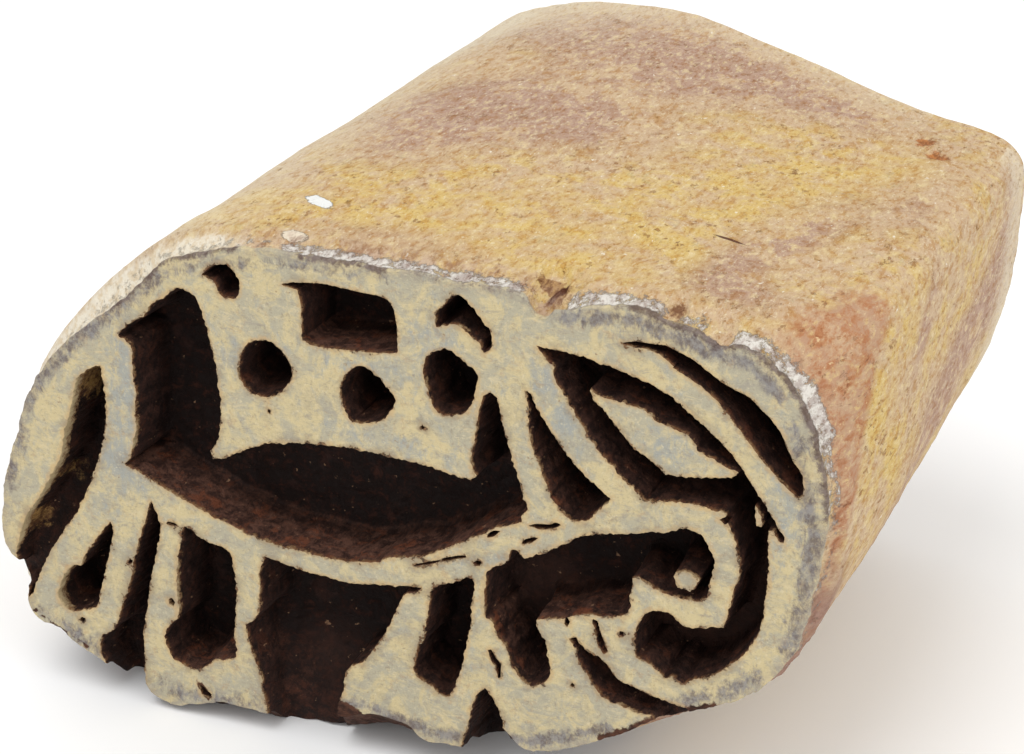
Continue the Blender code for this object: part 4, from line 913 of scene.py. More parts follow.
    # grey smears along the outer rim of the coat, partly a painted shadow line just inside the chalk ridge, broken up
    # in the shader
    a["rim_smear_and_shadow"] = np.clip(
        0.8 * near_line(x, z, [(-28.9, -4.5), (-28.0, -1.0), (-26.7, 2.2), (-24.6, 5.0), (-21.0, 8.2), (-17.5, 11.0)], 0.7)
        + 0.7 * near_line(x, z, [(-17, 11.6), (-14, 12.8), (-9, 13.6), (-2, 13.7)], 0.5)
        + 1.0 * near_line(x, z, [(9, 13.0), (12.5, 13.4), (15, 13.0), (17, 12.5), (19.5, 11.9), (21.5, 10.4)], 0.6)
        + 0.9 * near_line(x, z, [(22.5, 8.5), (23.3, 5), (23.7, 2.0), (23.3, -2), (22.6, -5)], 0.7)
        + 0.8 * near_line(x, z, [(21, -7.2), (19, -8.8), (16, -10.2)], 0.7)
        + 1.0 * near_line(x, z, [(-6.5, -15.2), (-4, -15.0), (0.5, -15.8), (4, -15.6), (7, -14.9), (10, -13.8), (12, -12.8)], 0.55)
        + 0.7 * near_line(x, z, [(-19.2, -16.6), (-17.5, -17.2), (-12, -16.7), (-9, -16.2)], 0.8)
        + 0.7 * near_line(x, z, [(-27.6, -13.2), (-24, -14.8), (-22.5, -15.6)], 0.7), 0, 1)
    a["blue"] = np.clip(
        1.0 * blob(x, z, -19.5, 5.0, 1.6, 3.5, 0) + 0.9 * blob(x, z, -20.5, -1.0, 2.2, 2.6, 0)
        + 0.7 * blob(x, z, -4, 7.9, 3.5, 0.9, 0) + 0.8 * blob(x, z, 1.0, 9.6, 1.4, 3.2, 0)
        + 0.6 * blob(x, z, -1.5, 3.4, 5, 0.7, -6) + 0.9 * blob(x, z, 8.6, 7.5, 1.0, 3.5, 25)
        + 0.7 * blob(x, z, 20.7, 0.2, 0.7, 3.0, 0) + 0.6 * blob(x, z, 15.5, 6.2, 2.2, 1.6, -35)
        + 0.6 * blob(x, z, -16.2, -8.5, 0.8, 2.8, 0) + 0.7 * blob(x, z, -10, -9, 0.9, 3.0, -20)
        + 0.5 * blob(x, z, -12.3, 7.5, 1.5, 1.2, 0) + 0.6 * blob(x, z, 4, -3.3, 6, 0.6, 12)
        + 0.7 * blob(x, z, 22.0, 4.5, 1.0, 4, 0) + 0.5 * blob(x, z, 16, -5.7, 2.5, 0.6, 0), 0, 1)
    # where the coat ran over the lip and down the wall, and where bare brown shows
    a["spill"] = np.clip(
        0.9 * near_line(x, z, [(-23.7, 3.5), (-24.4, 0.5), (-25.2, -2.2), (-27, -5.2), (-28.6, -8.0)], 1.1)
        + 1.0 * near_line(x, z, [(-25.2, -9.0), (-26.2, -10.2), (-26.3, -12.3)], 1.2)
        + 0.5 * near_line(x, z, [(-17.3, -7), (-17.4, -11)], 0.7)
        + 0.5 * near_line(x, z, [(-20.0, 6.5), (-19.4, 0)], 0.5)
        + 0.9 * near_line(x, z, [(12.2, 1.2), (14.8, 0.3), (17.5, -0.2)], 1.0)
        + 0.6 * near_line(x, z, [(5.5, 13.0), (3.0, 11.5)], 0.5), 0, 1)
    a["ochre"] = np.clip(1.0 * blob(x, z, -22.7, 2.9, 1.3, 2.0, 10) + 0.8 * blob(x, z, -28.3, -6.8, 0.8, 1.8, 15)
                         + 0.6 * blob(x, z, -26.2, -3.2, 0.8, 2.2, 30), 0, 1)
    a["bare"] = np.clip(
        1.3 * near_line(x, z, [(-8.0, -15.6), (-6.4, -15.5), (-4.6, -15.9), (-5.5, -16.4)], 0.6) * (z < -14.9 + 0.25 * (-3.4 - x))
        + 0.8 * near_line(x, z, [(11.6, -13.65), (13.8, -12.2), (15.4, -11.1), (16.8, -10.5), (18.4, -9.7)], 0.42)
        + 0.8 * near_line(x, z, [(-15.8, -16.2), (-15.2, -17.0)], 0.35)
        + 0.8 * near_line(x, z, [(-28.0, -13.4), (-26.4, -14.2), (-24.0, -15.4)], 0.2), 0, 1)
    a["rust"] = np.clip(1.1 * blob(x, y, 20.8, 34.8, 0.8, 0.9, 0) + 1.2 * blob(x, y, 22.1, 32.6, 1.0, 0.8, 0)
                        + 0.7 * blob(x, y, 21.3, 29.8, 0.5, 0.5, 0) + 1.2 * blob(x, y, 7.4, 2.2, 1.0, 0.5, 0)
                        + 0.7 * blob(x, y, 8.2, 1.3, 0.8, 0.7, 0)
                        + 0.9 * blob(x, y, 15.1, 1.4, 0.7, 0.7, 0) + 0.5 * blob(x, y, 19.5, 3.3, 1.5, 0.8, 0), 0, 1) * (z > 9)
    # painted shadow: thin dark line between the coat and the chalk
    seg = (smoothstep(11.0, 13.0, x) * smoothstep(2.0, 4.0, z)
           + smoothstep(-8.0, -7.4, x) * smoothstep(-1.2, -2.2, x) * (z > 10)
           + 1.0 * smoothstep(-10.5, -12, x) * smoothstep(-24, -19, x) * (z > 5)
           + 0.5 * smoothstep(-20, -24, x) * (z > -7)
           + 0.55 * smoothstep(-1.0, 0.0, x) * smoothstep(12, 9, x) * (z > 10))
    a["line"] = np.clip(seg * smoothstep(0.70, 0.0, rim), 0, 1)
    # painted light: how strongly the recess walls that face up are drawn lit, most along the belly's lower edge
    wall_light = (1.0 * near_line(x, z, [(-18.5, -0.5), (-13, -3.2), (-6, -4.8), (0, -5.0), (5, -3.2)], 2.6)
            + 0.9 * near_line(x, z, [(-7, 9.0), (-1.5, 9.1)], 1.0)
            + 0.7 * near_line(x, z, [(7.5, -6.2), (12, -6.4)], 1.2)
            + 0.6 * near_line(x, z, [(-13.5, -13), (-16, -14.5)], 1.0) + 0.5 * near_line(x, z, [(-8, -9), (-9, -15)], 1.5)
            + 0.5 * blob(x, z, 7.5, 3.5, 1.6, 3.0, 0) + 0.5 * blob(x, z, 4.4, -7.0, 1.4, 3.0, 30))
    a["wall_light"] = np.clip(0.22 + wall_light, 0, 1)
    a["warm"] = np.clip(0.9 * blob(x, z, 15.5, -6.6, 3.5, 1.8, 0) + 0.8 * blob(x, z, 19.0, -2.0, 1.6, 3.0, 0)
                        + 0.6 * blob(x, z, 6.0, -6.0, 2.0, 2.5, 0) + 0.7 * blob(x, z, -22.6, 1.5, 1.0, 3.0, 0)
                        + 0.5 * blob(x, z, -8.0, -14.0, 2.2, 2.0, 0) + 0.5 * blob(x, z, 17.5, 4.0, 1.6, 2.6, 0), 0, 1)
    a["under"] = np.clip(smoothstep(-13.2, -14.6, z) * smoothstep(26, 16, y) * smoothstep(13, 9, x) * (y > 0.05)
                         * smoothstep(0.35, -0.1, nor[:, 2]), 0, 1)
    up = np.clip(nor[:, 2], 0, 1)
    a["up"] = up
    for name, values in a.items():
        layer = me.attributes.new(name, "FLOAT", "POINT")
        layer.data.foreach_set("value", np.asarray(values, np.float32))
    return a


# ---------------------------------------------------------------- materials
class Graph:
    """small helper over a material's node tree"""

    def __init__(self, name):
        self.mat = bpy.data.materials.new(name)
        self.mat.use_nodes = True
        self.tree = self.mat.node_tree
        self.tree.nodes.clear()
        self.out = self.tree.nodes.new("ShaderNodeOutputMaterial")
        self.bsdf = self.tree.nodes.new("ShaderNodeBsdfPrincipled")
        self.link(self.bsdf.outputs["BSDF"], self.out.inputs["Surface"])
        self.coords = self.tree.nodes.new("ShaderNodeTexCoord").outputs["Object"]

    def link(self, a, b):
        self.tree.links.new(a, b)

    def put(self, socket, value):
        if isinstance(value, bpy.types.NodeSocket):
            self.link(value, socket)
        else:
            if hasattr(socket.default_value, "__len__") and not hasattr(value, "__len__"):
                value = (value,) * len(socket.default_value)
            elif hasattr(value, "__len__") and len(socket.default_value) == 4 and len(value) == 3:
                value = (*value, 1.0)
            socket.default_value = value

    def math(self, op, a, b=0.0, c=None, clamp=False):
        n = self.tree.nodes.new("ShaderNodeMath")
        n.operation = op
        n.use_clamp = clamp
        self.put(n.inputs[0], a)
        self.put(n.inputs[1], b)
        if c is not None:
            self.put(n.inputs[2], c)
        return n.outputs[0]

    def add(self, *v):
        out = v[0]
        for x in v[1:]:
            out = self.math("ADD", out, x)
        return out

    def mul(self, *v):
        out = v[0]
        for x in v[1:]:
            out = self.math("MULTIPLY", out, x)
        return out

    def sub(self, a, b):
        return self.math("SUBTRACT", a, b)

    def inv(self, a):
        return self.math("SUBTRACT", 1.0, a)

    def top(self, a, b):
        return self.math("MAXIMUM", a, b)

    def low(self, a, b):
        return self.math("MINIMUM", a, b)

    def vec(self, v, scale=(1, 1, 1), shift=(0, 0, 0), turn=(0, 0, 0)):
        n = self.tree.nodes.new("ShaderNodeMapping")
        n.inputs["Location"].default_value = shift
        n.inputs["Rotation"].default_value = turn
        n.inputs["Scale"].default_value = scale
        self.link(v, n.inputs["Vector"])
        return n.outputs[0]

    def shift_by(self, v, other, amount):
        n = self.tree.nodes.new("ShaderNodeVectorMath")
        n.operation = "MULTIPLY_ADD"
        self.link(other, n.inputs[0])
        n.inputs[1].default_value = amount if hasattr(amount, "__len__") else (amount,) * 3
        self.link(v, n.inputs[2])
        return n.outputs[0]

    def noise(self, v, scale=1.0, detail=3.0, rough=0.5, distortion=0.0, color=False, lac=2.0):
        n = self.tree.nodes.new("ShaderNodeTexNoise")
        self.link(v, n.inputs["Vector"])
        n.inputs["Scale"].default_value = scale
        n.inputs["Detail"].default_value = detail
        n.inputs["Roughness"].default_value = rough
        n.inputs["Distortion"].default_value = distortion
        n.inputs["Lacunarity"].default_value = lac
        return n.outputs["Color" if color else 0]

    def cells(self, v, scale=1.0, feature="F1", rand=1.0, out="Distance"):
        n = self.tree.nodes.new("ShaderNodeTexVoronoi")
        n.feature = feature
        self.link(v, n.inputs["Vector"])
        n.inputs["Scale"].default_value = scale
        n.inputs["Randomness"].default_value = rand
        return n.outputs[out]

    def ramp(self, v, lo, hi, a=0.0, b=1.0, smooth=True):
        n = self.tree.nodes.new("ShaderNodeMapRange")
        n.interpolation_type = "SMOOTHSTEP" if smooth else "LINEAR"
        n.clamp = True
        self.put(n.inputs["Value"], v)
        n.inputs["From Min"].default_value = lo
        n.inputs["From Max"].default_value = hi
        n.inputs["To Min"].default_value = a
        n.inputs["To Max"].default_value = b
        return n.outputs[0]

    def mix(self, fac, a, b, blend="MIX"):
        n = self.tree.nodes.new("ShaderNodeMix")
        n.data_type = "RGBA"
        n.blend_type = blend
        n.clamp_factor = True
        self.put(n.inputs[0], fac)
        self.put(n.inputs[6], a)
        self.put(n.inputs[7], b)
        return n.outputs[2]

    def spot(self, v, centre, radii, turn=0.0):
        """distance from a point, 1 on the ellipsoid's surface"""
        n = self.tree.nodes.new("ShaderNodeMapping")
        n.vector_type = "TEXTURE"
        n.inputs["Location"].default_value = centre
        n.inputs["Rotation"].default_value = (0, 0, math.radians(turn))
        n.inputs["Scale"].default_value = radii
        self.link(v, n.inputs["Vector"])
        m = self.tree.nodes.new("ShaderNodeVectorMath")
        m.operation = "LENGTH"
        self.link(n.outputs[0], m.inputs[0])
        return m.outputs["Value"]

    def attr(self, name, out="Fac"):
        n = self.tree.nodes.new("ShaderNodeAttribute")
        n.attribute_name = name
        return n.outputs[out]

    def bump(self, height, distance, strength=1.0, normal=None):
        n = self.tree.nodes.new("ShaderNodeBump")
        n.inputs["Strength"].default_value = strength
        n.inputs["Distance"].default_value = distance
        self.link(height, n.inputs["Height"])
        if normal is not None:
            self.link(normal, n.inputs["Normal"])
        return n.outputs[0]


def srgb(r, g, b, gain=1.0):
    def lin(c):
        c /= 255.0
        return (c / 12.92 if c <= 0.04045 else ((c + 0.055) / 1.055) ** 2.4) / gain
    return (lin(r), lin(g), lin(b))


def at(x, y, z):
    return tuple(float(c) for c in to_frame((x, y, z)))


def wood_material():
    g = Graph("stained_and_coated_wood")
    raw = g.vec(g.coords, scale=(1000, 1000, 1000))            # millimetres
    mm = g.vec(g.coords, scale=(1000, 450, 1000))              # flecks are longer along the depth
    sep = g.tree.nodes.new("ShaderNodeSeparateXYZ")
    g.link(raw, sep.inputs[0])
    ymm = g.add(sep.outputs[1], CENTRE_Y)                      # depth behind the face
    side = g.attr("side")

    def centred(v, k=1.0):
        return g.mul(g.sub(v, 0.5), k)

    # ---- noises shared by everything
    n_broad = g.noise(raw, 0.14, 4, 0.65, 0.6)
    n_mid = g.noise(g.vec(raw, scale=(0.85, 0.8, 1.0)), 0.50, 4, 0.70, 0.3)
    n_fine = g.noise(g.vec(mm, scale=(0.9, 1.0, 1.0), shift=(3, 1, 8)), 1.9, 4, 0.74, 0.2)
    n_grit = g.noise(mm, 4.6, 2, 0.75)
    n_speck = g.noise(g.vec(mm, scale=(0.75, 1.0, 1.0), shift=(3, 17, 9), turn=(0, 0, math.radians(-9))), 2.7, 3, 0.62)
    n_patch = g.noise(g.vec(mm, scale=(0.85, 1.0, 1.0), shift=(31, 7, 3)), 1.25, 5, 0.74, 0.4)
    n_rag = g.noise(g.vec(raw, shift=(13, 5, 6)), 1.5, 5, 0.78)

    # ---- bare wood
    clusters = g.ramp(n_broad, 0.38, 0.60)
    tan = srgb(212, 184, 144, GAIN)
    golden = srgb(219, 188, 116, GAIN)
    lilac = srgb(180, 146, 130, GAIN)
    cream = srgb(230, 216, 190, GAIN)
    wood = g.mix(g.ramp(g.add(g.mul(g.attr("gold"), 0.5), centred(n_mid, 2.8), 0.15), 0.0, 0.8), tan, golden)
    wood = g.mix(g.mul(g.ramp(n_patch, 0.44, 0.30), 0.6), wood, srgb(190, 174, 126, GAIN))
    blush = g.mul(g.attr("pink"), g.ramp(g.add(n_broad, centred(n_mid, 1.6)), 0.2, 0.6))
    wood = g.mix(g.mul(g.ramp(blush, 0.08, 0.7), 0.85), wood, lilac)
    wood = g.mix(g.mul(g.ramp(g.add(n_broad, centred(n_mid, 1.2)), 0.62, 0.44), 0.26), wood, srgb(196, 164, 148, GAIN))
    # cream over the paler wood, partly painted highlight
    wood = g.mix(g.mul(g.attr("pale_and_highlight"), g.ramp(n_mid, 0.25, 0.65, 0.55, 1.0)), wood, cream)
    quiet = g.inv(g.mul(g.attr("pale_and_highlight"), 0.7))
    calm = g.inv(g.mul(g.attr("pink"), 0.45))
    wood = g.mix(g.mul(g.ramp(n_fine, 0.50, 0.64), 0.75, quiet), wood,
                 g.mix(1.0, wood, srgb(230, 204, 160), "MULTIPLY"))
    wood = g.mix(g.mul(g.ramp(n_fine, 0.47, 0.34), 0.6), wood, srgb(232, 210, 158, GAIN))
    wood = g.mix(g.mul(g.ramp(n_patch, 0.57, 0.68), 0.7, quiet, calm), wood, srgb(190, 144, 80, GAIN))
    wood = g.mix(g.mul(g.ramp(n_speck, 0.59, 0.67), 0.75, quiet, clusters, calm), wood, srgb(160, 112, 60, GAIN))
    wood = g.mix(g.mul(g.ramp(n_patch, 0.68, 0.76), 0.85, quiet), wood, srgb(150, 92, 42, GAIN))
    wood = g.mix(g.mul(g.ramp(n_grit, 0.54, 0.70), 0.55), wood, g.mix(1.0, wood, srgb(206, 184, 152), "MULTIPLY"))
    wood = g.mix(g.mul(g.ramp(n_grit, 0.43, 0.28), 0.55), wood, srgb(240, 226, 190, GAIN))
    wood = g.mix(g.mul(g.ramp(n_speck, 0.31, 0.26), 0.8), wood, srgb(246, 238, 218, GAIN))
    # the sawn back: growth rings across the end grain and faint saw marks
    dx = g.add(sep.outputs[0], 16.0, centred(n_mid, 2.5))
    dz = g.add(sep.outputs[2], 26.0, centred(n_broad, 4.0))
    radius = g.math("SQRT", g.add(g.mul(dx, dx), g.mul(dz, dz)))
    ring = g.math("SINE", g.add(g.mul(radius, 2.1), centred(n_rag, 1.5), centred(n_broad, 9.0)))
    ring_mask = g.mul(g.ramp(ring, 0.1, 0.95), g.attr("sawn"))
    wood = g.mix(g.mul(g.attr("sawn"), 0.35), wood, g.mix(1.0, wood, srgb(232, 216, 192), "MULTIPLY"))
    wood = g.mix(g.mul(ring_mask, g.ramp(n_mid, 0.35, 0.6, 0.2, 1.0), 0.6), wood,
                 g.mix(1.0, wood, srgb(214, 188, 154), "MULTIPLY"))
    saw = g.math("SINE", g.add(g.mul(sep.outputs[0], 6.5), g.mul(sep.outputs[2], 0.9), centred(n_rag, 3.0)))
    saw_mask = g.mul(g.ramp(saw, 0.35, 0.95), g.ramp(n_mid, 0.42, 0.62), g.attr("sawn"))
    wood = g.mix(g.mul(saw_mask, 0.5), wood, g.mix(1.0, wood, srgb(214, 190, 160), "MULTIPLY"))
    # grey-lilac bruises drifting over the upper side
    bruise = g.mul(g.ramp(g.add(n_mid, centred(n_rag, 0.5)), 0.62, 0.76), g.ramp(n_broad, 0.54, 0.40), 0.5)
    wood = g.mix(bruise, wood, srgb(166, 146, 138, GAIN))
    red = g.mul(g.attr("facet"), g.ramp(g.add(n_mid, centred(n_fine, 1.4)), 0.25, 0.65, 0.45, 1.0))
    wood = g.mix(red, wood, g.mix(g.ramp(n_patch, 0.42, 0.58), srgb(190, 150, 120, GAIN), srgb(182, 124, 84, GAIN)))
    wood = g.mix(g.mul(g.attr("facet"), g.ramp(n_patch, 0.56, 0.68), 0.8), wood, srgb(158, 98, 62, GAIN))
    wood = g.mix(g.mul(g.attr("facet"), g.ramp(n_fine, 0.42, 0.30), 0.85), wood, srgb(214, 180, 122, GAIN))
    wood = g.mix(g.mul(g.attr("facet"), g.ramp(n_speck, 0.36, 0.28), 0.7), wood, srgb(236, 208, 160, GAIN))
    wood = g.mix(g.mul(g.attr("low"), g.ramp(n_mid, 0.25, 0.6, 0.45, 0.95)), wood, srgb(150, 112, 98, GAIN))
    # rusty spots, a drying crack and two specks of old plaster
    rust = g.ramp(g.add(g.attr("rust"), centred(n_rag, 1.9)), 0.42, 0.72)
    rust = g.mul(rust, g.ramp(g.attr("rust"), 0.05, 0.3))
    rust_far = g.mix(g.ramp(n_fine, 0.4, 0.6), srgb(190, 118, 56, GAIN), srgb(142, 84, 42, GAIN))
    rust_near = g.mix(g.ramp(n_fine, 0.4, 0.6), srgb(182, 142, 92, GAIN), srgb(116, 74, 46, GAIN))
    wood = g.mix(g.mul(rust, 0.9), wood, g.mix(g.ramp(ymm, 5.0, 9.0), rust_near, rust_far))
    frayed = centred(n_rag, 1.2)
    crack = g.ramp(g.add(g.spot(raw, at(14.7, 11.75, 14.6), (1.15, 0.14, 4), -14), g.mul(frayed, 0.5)), 1.1, 0.6)
    wood = g.mix(crack, wood, srgb(104, 62, 36, GAIN))
    chip = g.ramp(g.add(g.spot(raw, at(7.9, 1.75, 14.6), (0.85, 0.22, 4), 50), g.mul(frayed, 0.4)), 1.15, 0.75)
    wood = g.mix(chip, wood, srgb(84, 44, 24, GAIN))
    flake = g.ramp(g.add(g.spot(raw, at(-9.5, 6.7, 15.2), (1.35, 0.5, 3), -30), frayed), 1.08, 0.92)
    wood = g.mix(flake, wood, srgb(244, 244, 240, GAIN))
    flake2 = g.ramp(g.add(g.spot(raw, at(-8.6, 1.75, 15.0), (0.9, 0.5, 3), -12), g.mul(frayed, 1.3)), 1.04, 0.88)
    wood = g.mix(flake2, wood, srgb(236, 222, 198, GAIN))
    flakes = g.top(flake, flake2)
    # creamy wash over the tail-side shoulder
    wash = g.ramp(g.add(g.attr("wash"), centred(n_rag, 0.9)), 0.30, 0.80)
    wash = g.mul(wash, g.ramp(g.attr("wash"), 0.02, 0.25), 0.85)
    wood = g.mix(wash, wood, g.mix(g.ramp(n_fine, 0.42, 0.62), srgb(240, 232, 214, GAIN), srgb(224, 206, 176, GAIN)))
    # dusty film towards the front edge
    xmm = g.add(sep.outputs[0], CENTRE_X)
    film = g.mul(g.ramp(ymm, 3.6, 0.8), g.ramp(xmm, 7.0, 10.0, 1.0, 0.3), g.ramp(g.add(n_patch, centred(n_mid, 0.6)), 0.38, 0.6), 0.8, g.inv(g.attr("wash")))
    wood = g.mix(film, wood, g.mix(g.ramp(n_fine, 0.4, 0.6), srgb(196, 168, 150, GAIN), srgb(152, 116, 98, GAIN)))
    # chalk ridge
    ragged = g.add(g.mul(g.attr("chalk"), 0.70), centred(n_rag, 2.5))
    chalk = g.mul(g.ramp(ragged, 0.32, 0.66), g.ramp(g.attr("chalk"), 0.04, 0.25), 0.95)
    chalk_tone = g.mix(g.ramp(n_fine, 0.40, 0.60), srgb(230, 225, 216, GAIN), srgb(190, 179, 171, GAIN))
    chalk_tone = g.mix(g.mul(g.ramp(n_patch, 0.54, 0.66), 0.8), chalk_tone, srgb(160, 138, 126, GAIN))
    chalk_tone = g.mix(g.attr("wash"), chalk_tone, srgb(232, 222, 202, GAIN))
    wood = g.mix(chalk, wood, chalk_tone)
    wood = g.mix(g.mul(g.attr("under"), g.ramp(n_patch, 0.3, 0.6, 0.95, 1.0)), wood,
                 g.mix(g.ramp(n_fine, 0.4, 0.6), srgb(84, 52, 40, GAIN), srgb(50, 31, 25, GAIN)))

    # ---- the printing coat on the face
    cloud = g.noise(g.vec(mm, shift=(4, 0, 2)), 0.45, 5, 0.72, 0.8)
    brush = g.noise(g.vec(mm, scale=(0.8, 1.0, 1.6), turn=(0, math.radians(-22), 0)), 1.0, 5, 0.76, 0.6)
    drip = g.noise(g.vec(mm, scale=(1.5, 1.0, 0.9), shift=(0, 3, 7)), 0.95, 5, 0.74, 0.4)
    dots = g.noise(mm, 2.6, 3, 0.72)
    coat = g.mix(g.ramp(cloud, 0.42, 0.58), srgb(213, 196, 152, GAIN), srgb(186, 178, 154, GAIN))
    grime = g.mul(g.ramp(n_mid, 0.52, 0.68), g.ramp(n_rag, 0.40, 0.60), 0.45)
    coat = g.mix(grime, coat, srgb(160, 150, 132, GAIN))
    coat = g.mix(g.mul(g.ramp(brush, 0.47, 0.36), 0.6), coat, srgb(220, 203, 162, GAIN))
    coat = g.mix(g.mul(g.ramp(g.add(g.mul(g.attr("blue"), 0.7), centred(drip, 2.6)), 0.10, 0.75), 0.9),
                 coat, srgb(166, 168, 162, GAIN))
    coat = g.mix(g.mul(g.ramp(brush, 0.54, 0.66), 0.6), coat, srgb(166, 158, 144, GAIN))
    coat = g.mix(g.mul(g.ramp(n_patch, 0.56, 0.68), 0.5), coat, srgb(186, 158, 124, GAIN))
    coat = g.mix(g.mul(g.ramp(dots, 0.56, 0.70), 0.40), coat, srgb(152, 136, 114, GAIN))
    coat = g.mix(g.mul(g.ramp(n_grit, 0.42, 0.28), 0.5), coat, srgb(226, 212, 176, GAIN))
    coat = g.mix(g.mul(g.ramp(n_grit, 0.58, 0.74), 0.40), coat, srgb(150, 140, 124, GAIN))
    # shaded, rubbed rim
    rimline = g.mul(g.ramp(g.attr("rim"), 0.80, 0.10), g.ramp(n_rag, 0.36, 0.62))
    coat = g.mix(g.mul(rimline, 0.6), coat, srgb(156, 144, 134, GAIN))
    # grey rim smears, partly painted shadow along the rim
    rim_smear_shadow_mask = g.ramp(g.add(g.mul(g.attr("rim_smear_and_shadow"), 0.85), centred(drip, 2.4)), 0.26, 0.88)
    rim_smear_shadow_mask = g.mul(rim_smear_shadow_mask, g.ramp(g.attr("rim_smear_and_shadow"), 0.05, 0.5))
    coat = g.mix(g.mul(rim_smear_shadow_mask, 0.85), coat, g.mix(g.ramp(n_rag, 0.4, 0.6), srgb(144, 140, 140, GAIN), srgb(100, 88, 90, GAIN)))
    # painted shadow line between the coat and the chalk ridge
    painted_shadow_line = g.ramp(g.add(g.attr("line"), centred(n_rag, 1.9)), 0.35, 0.95)
    painted_shadow_line = g.mul(painted_shadow_line, g.ramp(g.attr("line"), 0.03, 0.3))
    coat = g.mix(g.mul(painted_shadow_line, 0.85), coat, g.mix(g.ramp(dots, 0.4, 0.6), srgb(122, 106, 102, GAIN), srgb(92, 72, 66, GAIN)))
    coat = g.mix(g.mul(g.ramp(n_speck, 0.69, 0.76), 0.7), coat, srgb(140, 104, 74, GAIN))
    # worn, warm lips round every recess
    wander = g.sub(n_rag, 0.5)
    lip = g.ramp(g.add(g.attr("edge"), g.mul(wander, 1.0)), 0.36, 0.04)
    coat = g.mix(g.mul(lip, 0.65), coat, srgb(204, 170, 120, GAIN))
    soil = g.mul(g.ramp(g.add(g.attr("edge"), centred(n_rag, 1.6)), 0.75, 0.1), g.ramp(n_mid, 0.46, 0.60))
    coat = g.mix(g.mul(soil, 0.5), coat, srgb(146, 134, 116, GAIN))
    creep = g.ramp(n_mid, 0.48, 0.62, 0.0, 1.0)
    worn = g.ramp(g.add(g.attr("edge"), centred(dots, 0.8), g.mul(g.attr("spill"), 0.5),
                        g.mul(creep, centred(n_rag, 1.5))), 0.085, 0.0)
    worn = g.mul(worn, g.ramp(n_mid, 0.44, 0.58, 0.4, 1.0))
    coat = g.mix(g.mul(worn, 0.85), coat, g.mix(g.ramp(n_grit, 0.4, 0.6), srgb(128, 88, 56, GAIN), srgb(58, 38, 28, GAIN)))
    bare = g.mul(g.ramp(g.add(g.attr("bare"), centred(n_rag, 1.1)), 0.42, 0.62), g.ramp(g.attr("bare"), 0.05, 0.3))
    coat = g.mix(bare, coat, g.mix(g.ramp(brush, 0.4, 0.6), srgb(92, 58, 42, GAIN), srgb(54, 33, 26, GAIN)))

    # ---- the stained recesses, with painted light on walls that face up and painted shade darkening towards the floors
    tool = g.noise(g.vec(raw, scale=(1.0, 0.9, 1.0), shift=(7, 2, 5)), 1.2, 5, 0.78, 0.3)
    crumb = g.noise(raw, 3.2, 3, 0.75)
    patchy = g.noise(g.vec(raw, shift=(2, 9, 4)), 0.8, 4, 0.75, 0.4)
    # painted light: walls that face up are drawn in lighter browns, as if lit from above
    lit = g.mul(g.ramp(g.attr("up"), 0.10, 0.65), g.attr("wall_light"))
    wall = g.mix(g.ramp(tool, 0.40, 0.62), srgb(30, 18, 15), srgb(56, 34, 27))
    lit_wall = g.mix(g.ramp(tool, 0.40, 0.60), srgb(50, 31, 25), srgb(92, 62, 50))
    wall = g.mix(lit, wall, lit_wall)
    wall = g.mix(g.mul(g.ramp(patchy, 0.52, 0.64), g.ramp(lit, 0.0, 0.6, 0.3, 1.0), 0.8), wall, srgb(104, 58, 38))
    wall = g.mix(g.mul(g.ramp(crumb, 0.52, 0.70), 0.6), wall, g.mix(1.0, wall, srgb(150, 140, 136), "MULTIPLY"))
    wall = g.mix(g.mul(g.ramp(crumb, 0.40, 0.26), g.ramp(lit, 0.0, 0.5, 0.3, 1.0), 0.7), wall, srgb(124, 90, 70))
    # recess floor colour, the stain drawn darker as painted shade
    floor_tone = g.mix(g.ramp(tool, 0.50, 0.68), srgb(21, 9, 6), srgb(52, 28, 20))
    floor_tone = g.mix(g.mul(g.ramp(n_mid, 0.54, 0.68), 0.5), floor_tone, srgb(56, 33, 26))
    floor_tone = g.mix(g.mul(g.attr("warm"), g.ramp(tool, 0.3, 0.6, 0.4, 1.0)), floor_tone, srgb(70, 46, 38))
    # painted shade: the stain darkens towards each recess floor, less where the walls are drawn lit
    deep = g.ramp(g.add(ymm, centred(n_mid, 2.0)), 2.2, 4.0)
    stain_light_and_shade = g.mix(g.mul(deep, g.inv(g.mul(lit, 0.4))), wall, floor_tone)
    stain_light_and_shade = g.mix(g.mul(g.ramp(n_speck, 0.67, 0.74), 0.6), stain_light_and_shade, srgb(168, 130, 100))
    ochre = g.ramp(g.add(g.attr("ochre"), centred(n_rag, 1.8)), 0.30, 0.62)
    ochre = g.mul(ochre, g.ramp(g.attr("ochre"), 0.03, 0.25), g.ramp(ymm, 3.9, 2.4))
    stain_light_and_shade = g.mix(ochre, stain_light_and_shade, g.mix(g.ramp(tool, 0.42, 0.58), srgb(158, 122, 72), srgb(96, 66, 42)))
    reach = g.add(g.mul(g.attr("spill"), 0.95), 0.05, centred(n_rag, 2.6))
    over = g.mul(g.ramp(g.sub(reach, ymm), -0.05, 0.08), g.ramp(g.add(g.attr("spill"), g.ramp(ymm, 0.6, 0.0)), 0.02, 0.4))
    spill_tone = g.mix(g.ramp(g.sub(reach, ymm), 0.0, 0.6), srgb(132, 98, 66, GAIN), srgb(196, 174, 134, GAIN))
    lipwall = g.mul(g.ramp(ymm, 0.45, 0.05), g.ramp(dots, 0.44, 0.62), 0.8)
    stain_light_and_shade = g.mix(lipwall, stain_light_and_shade, srgb(124, 86, 56))
    stain_light_and_shade = g.mix(over, stain_light_and_shade, spill_tone)

    rec = g.attr("rec")
    ragged_face = g.ramp(g.add(ymm, centred(n_rag, 0.8)), 0.36, 0.20)
    skin = g.mix(ragged_face, wood, coat)
    color = g.mix(rec, skin, stain_light_and_shade)
    g.put(g.bsdf.inputs["Base Color"], color)

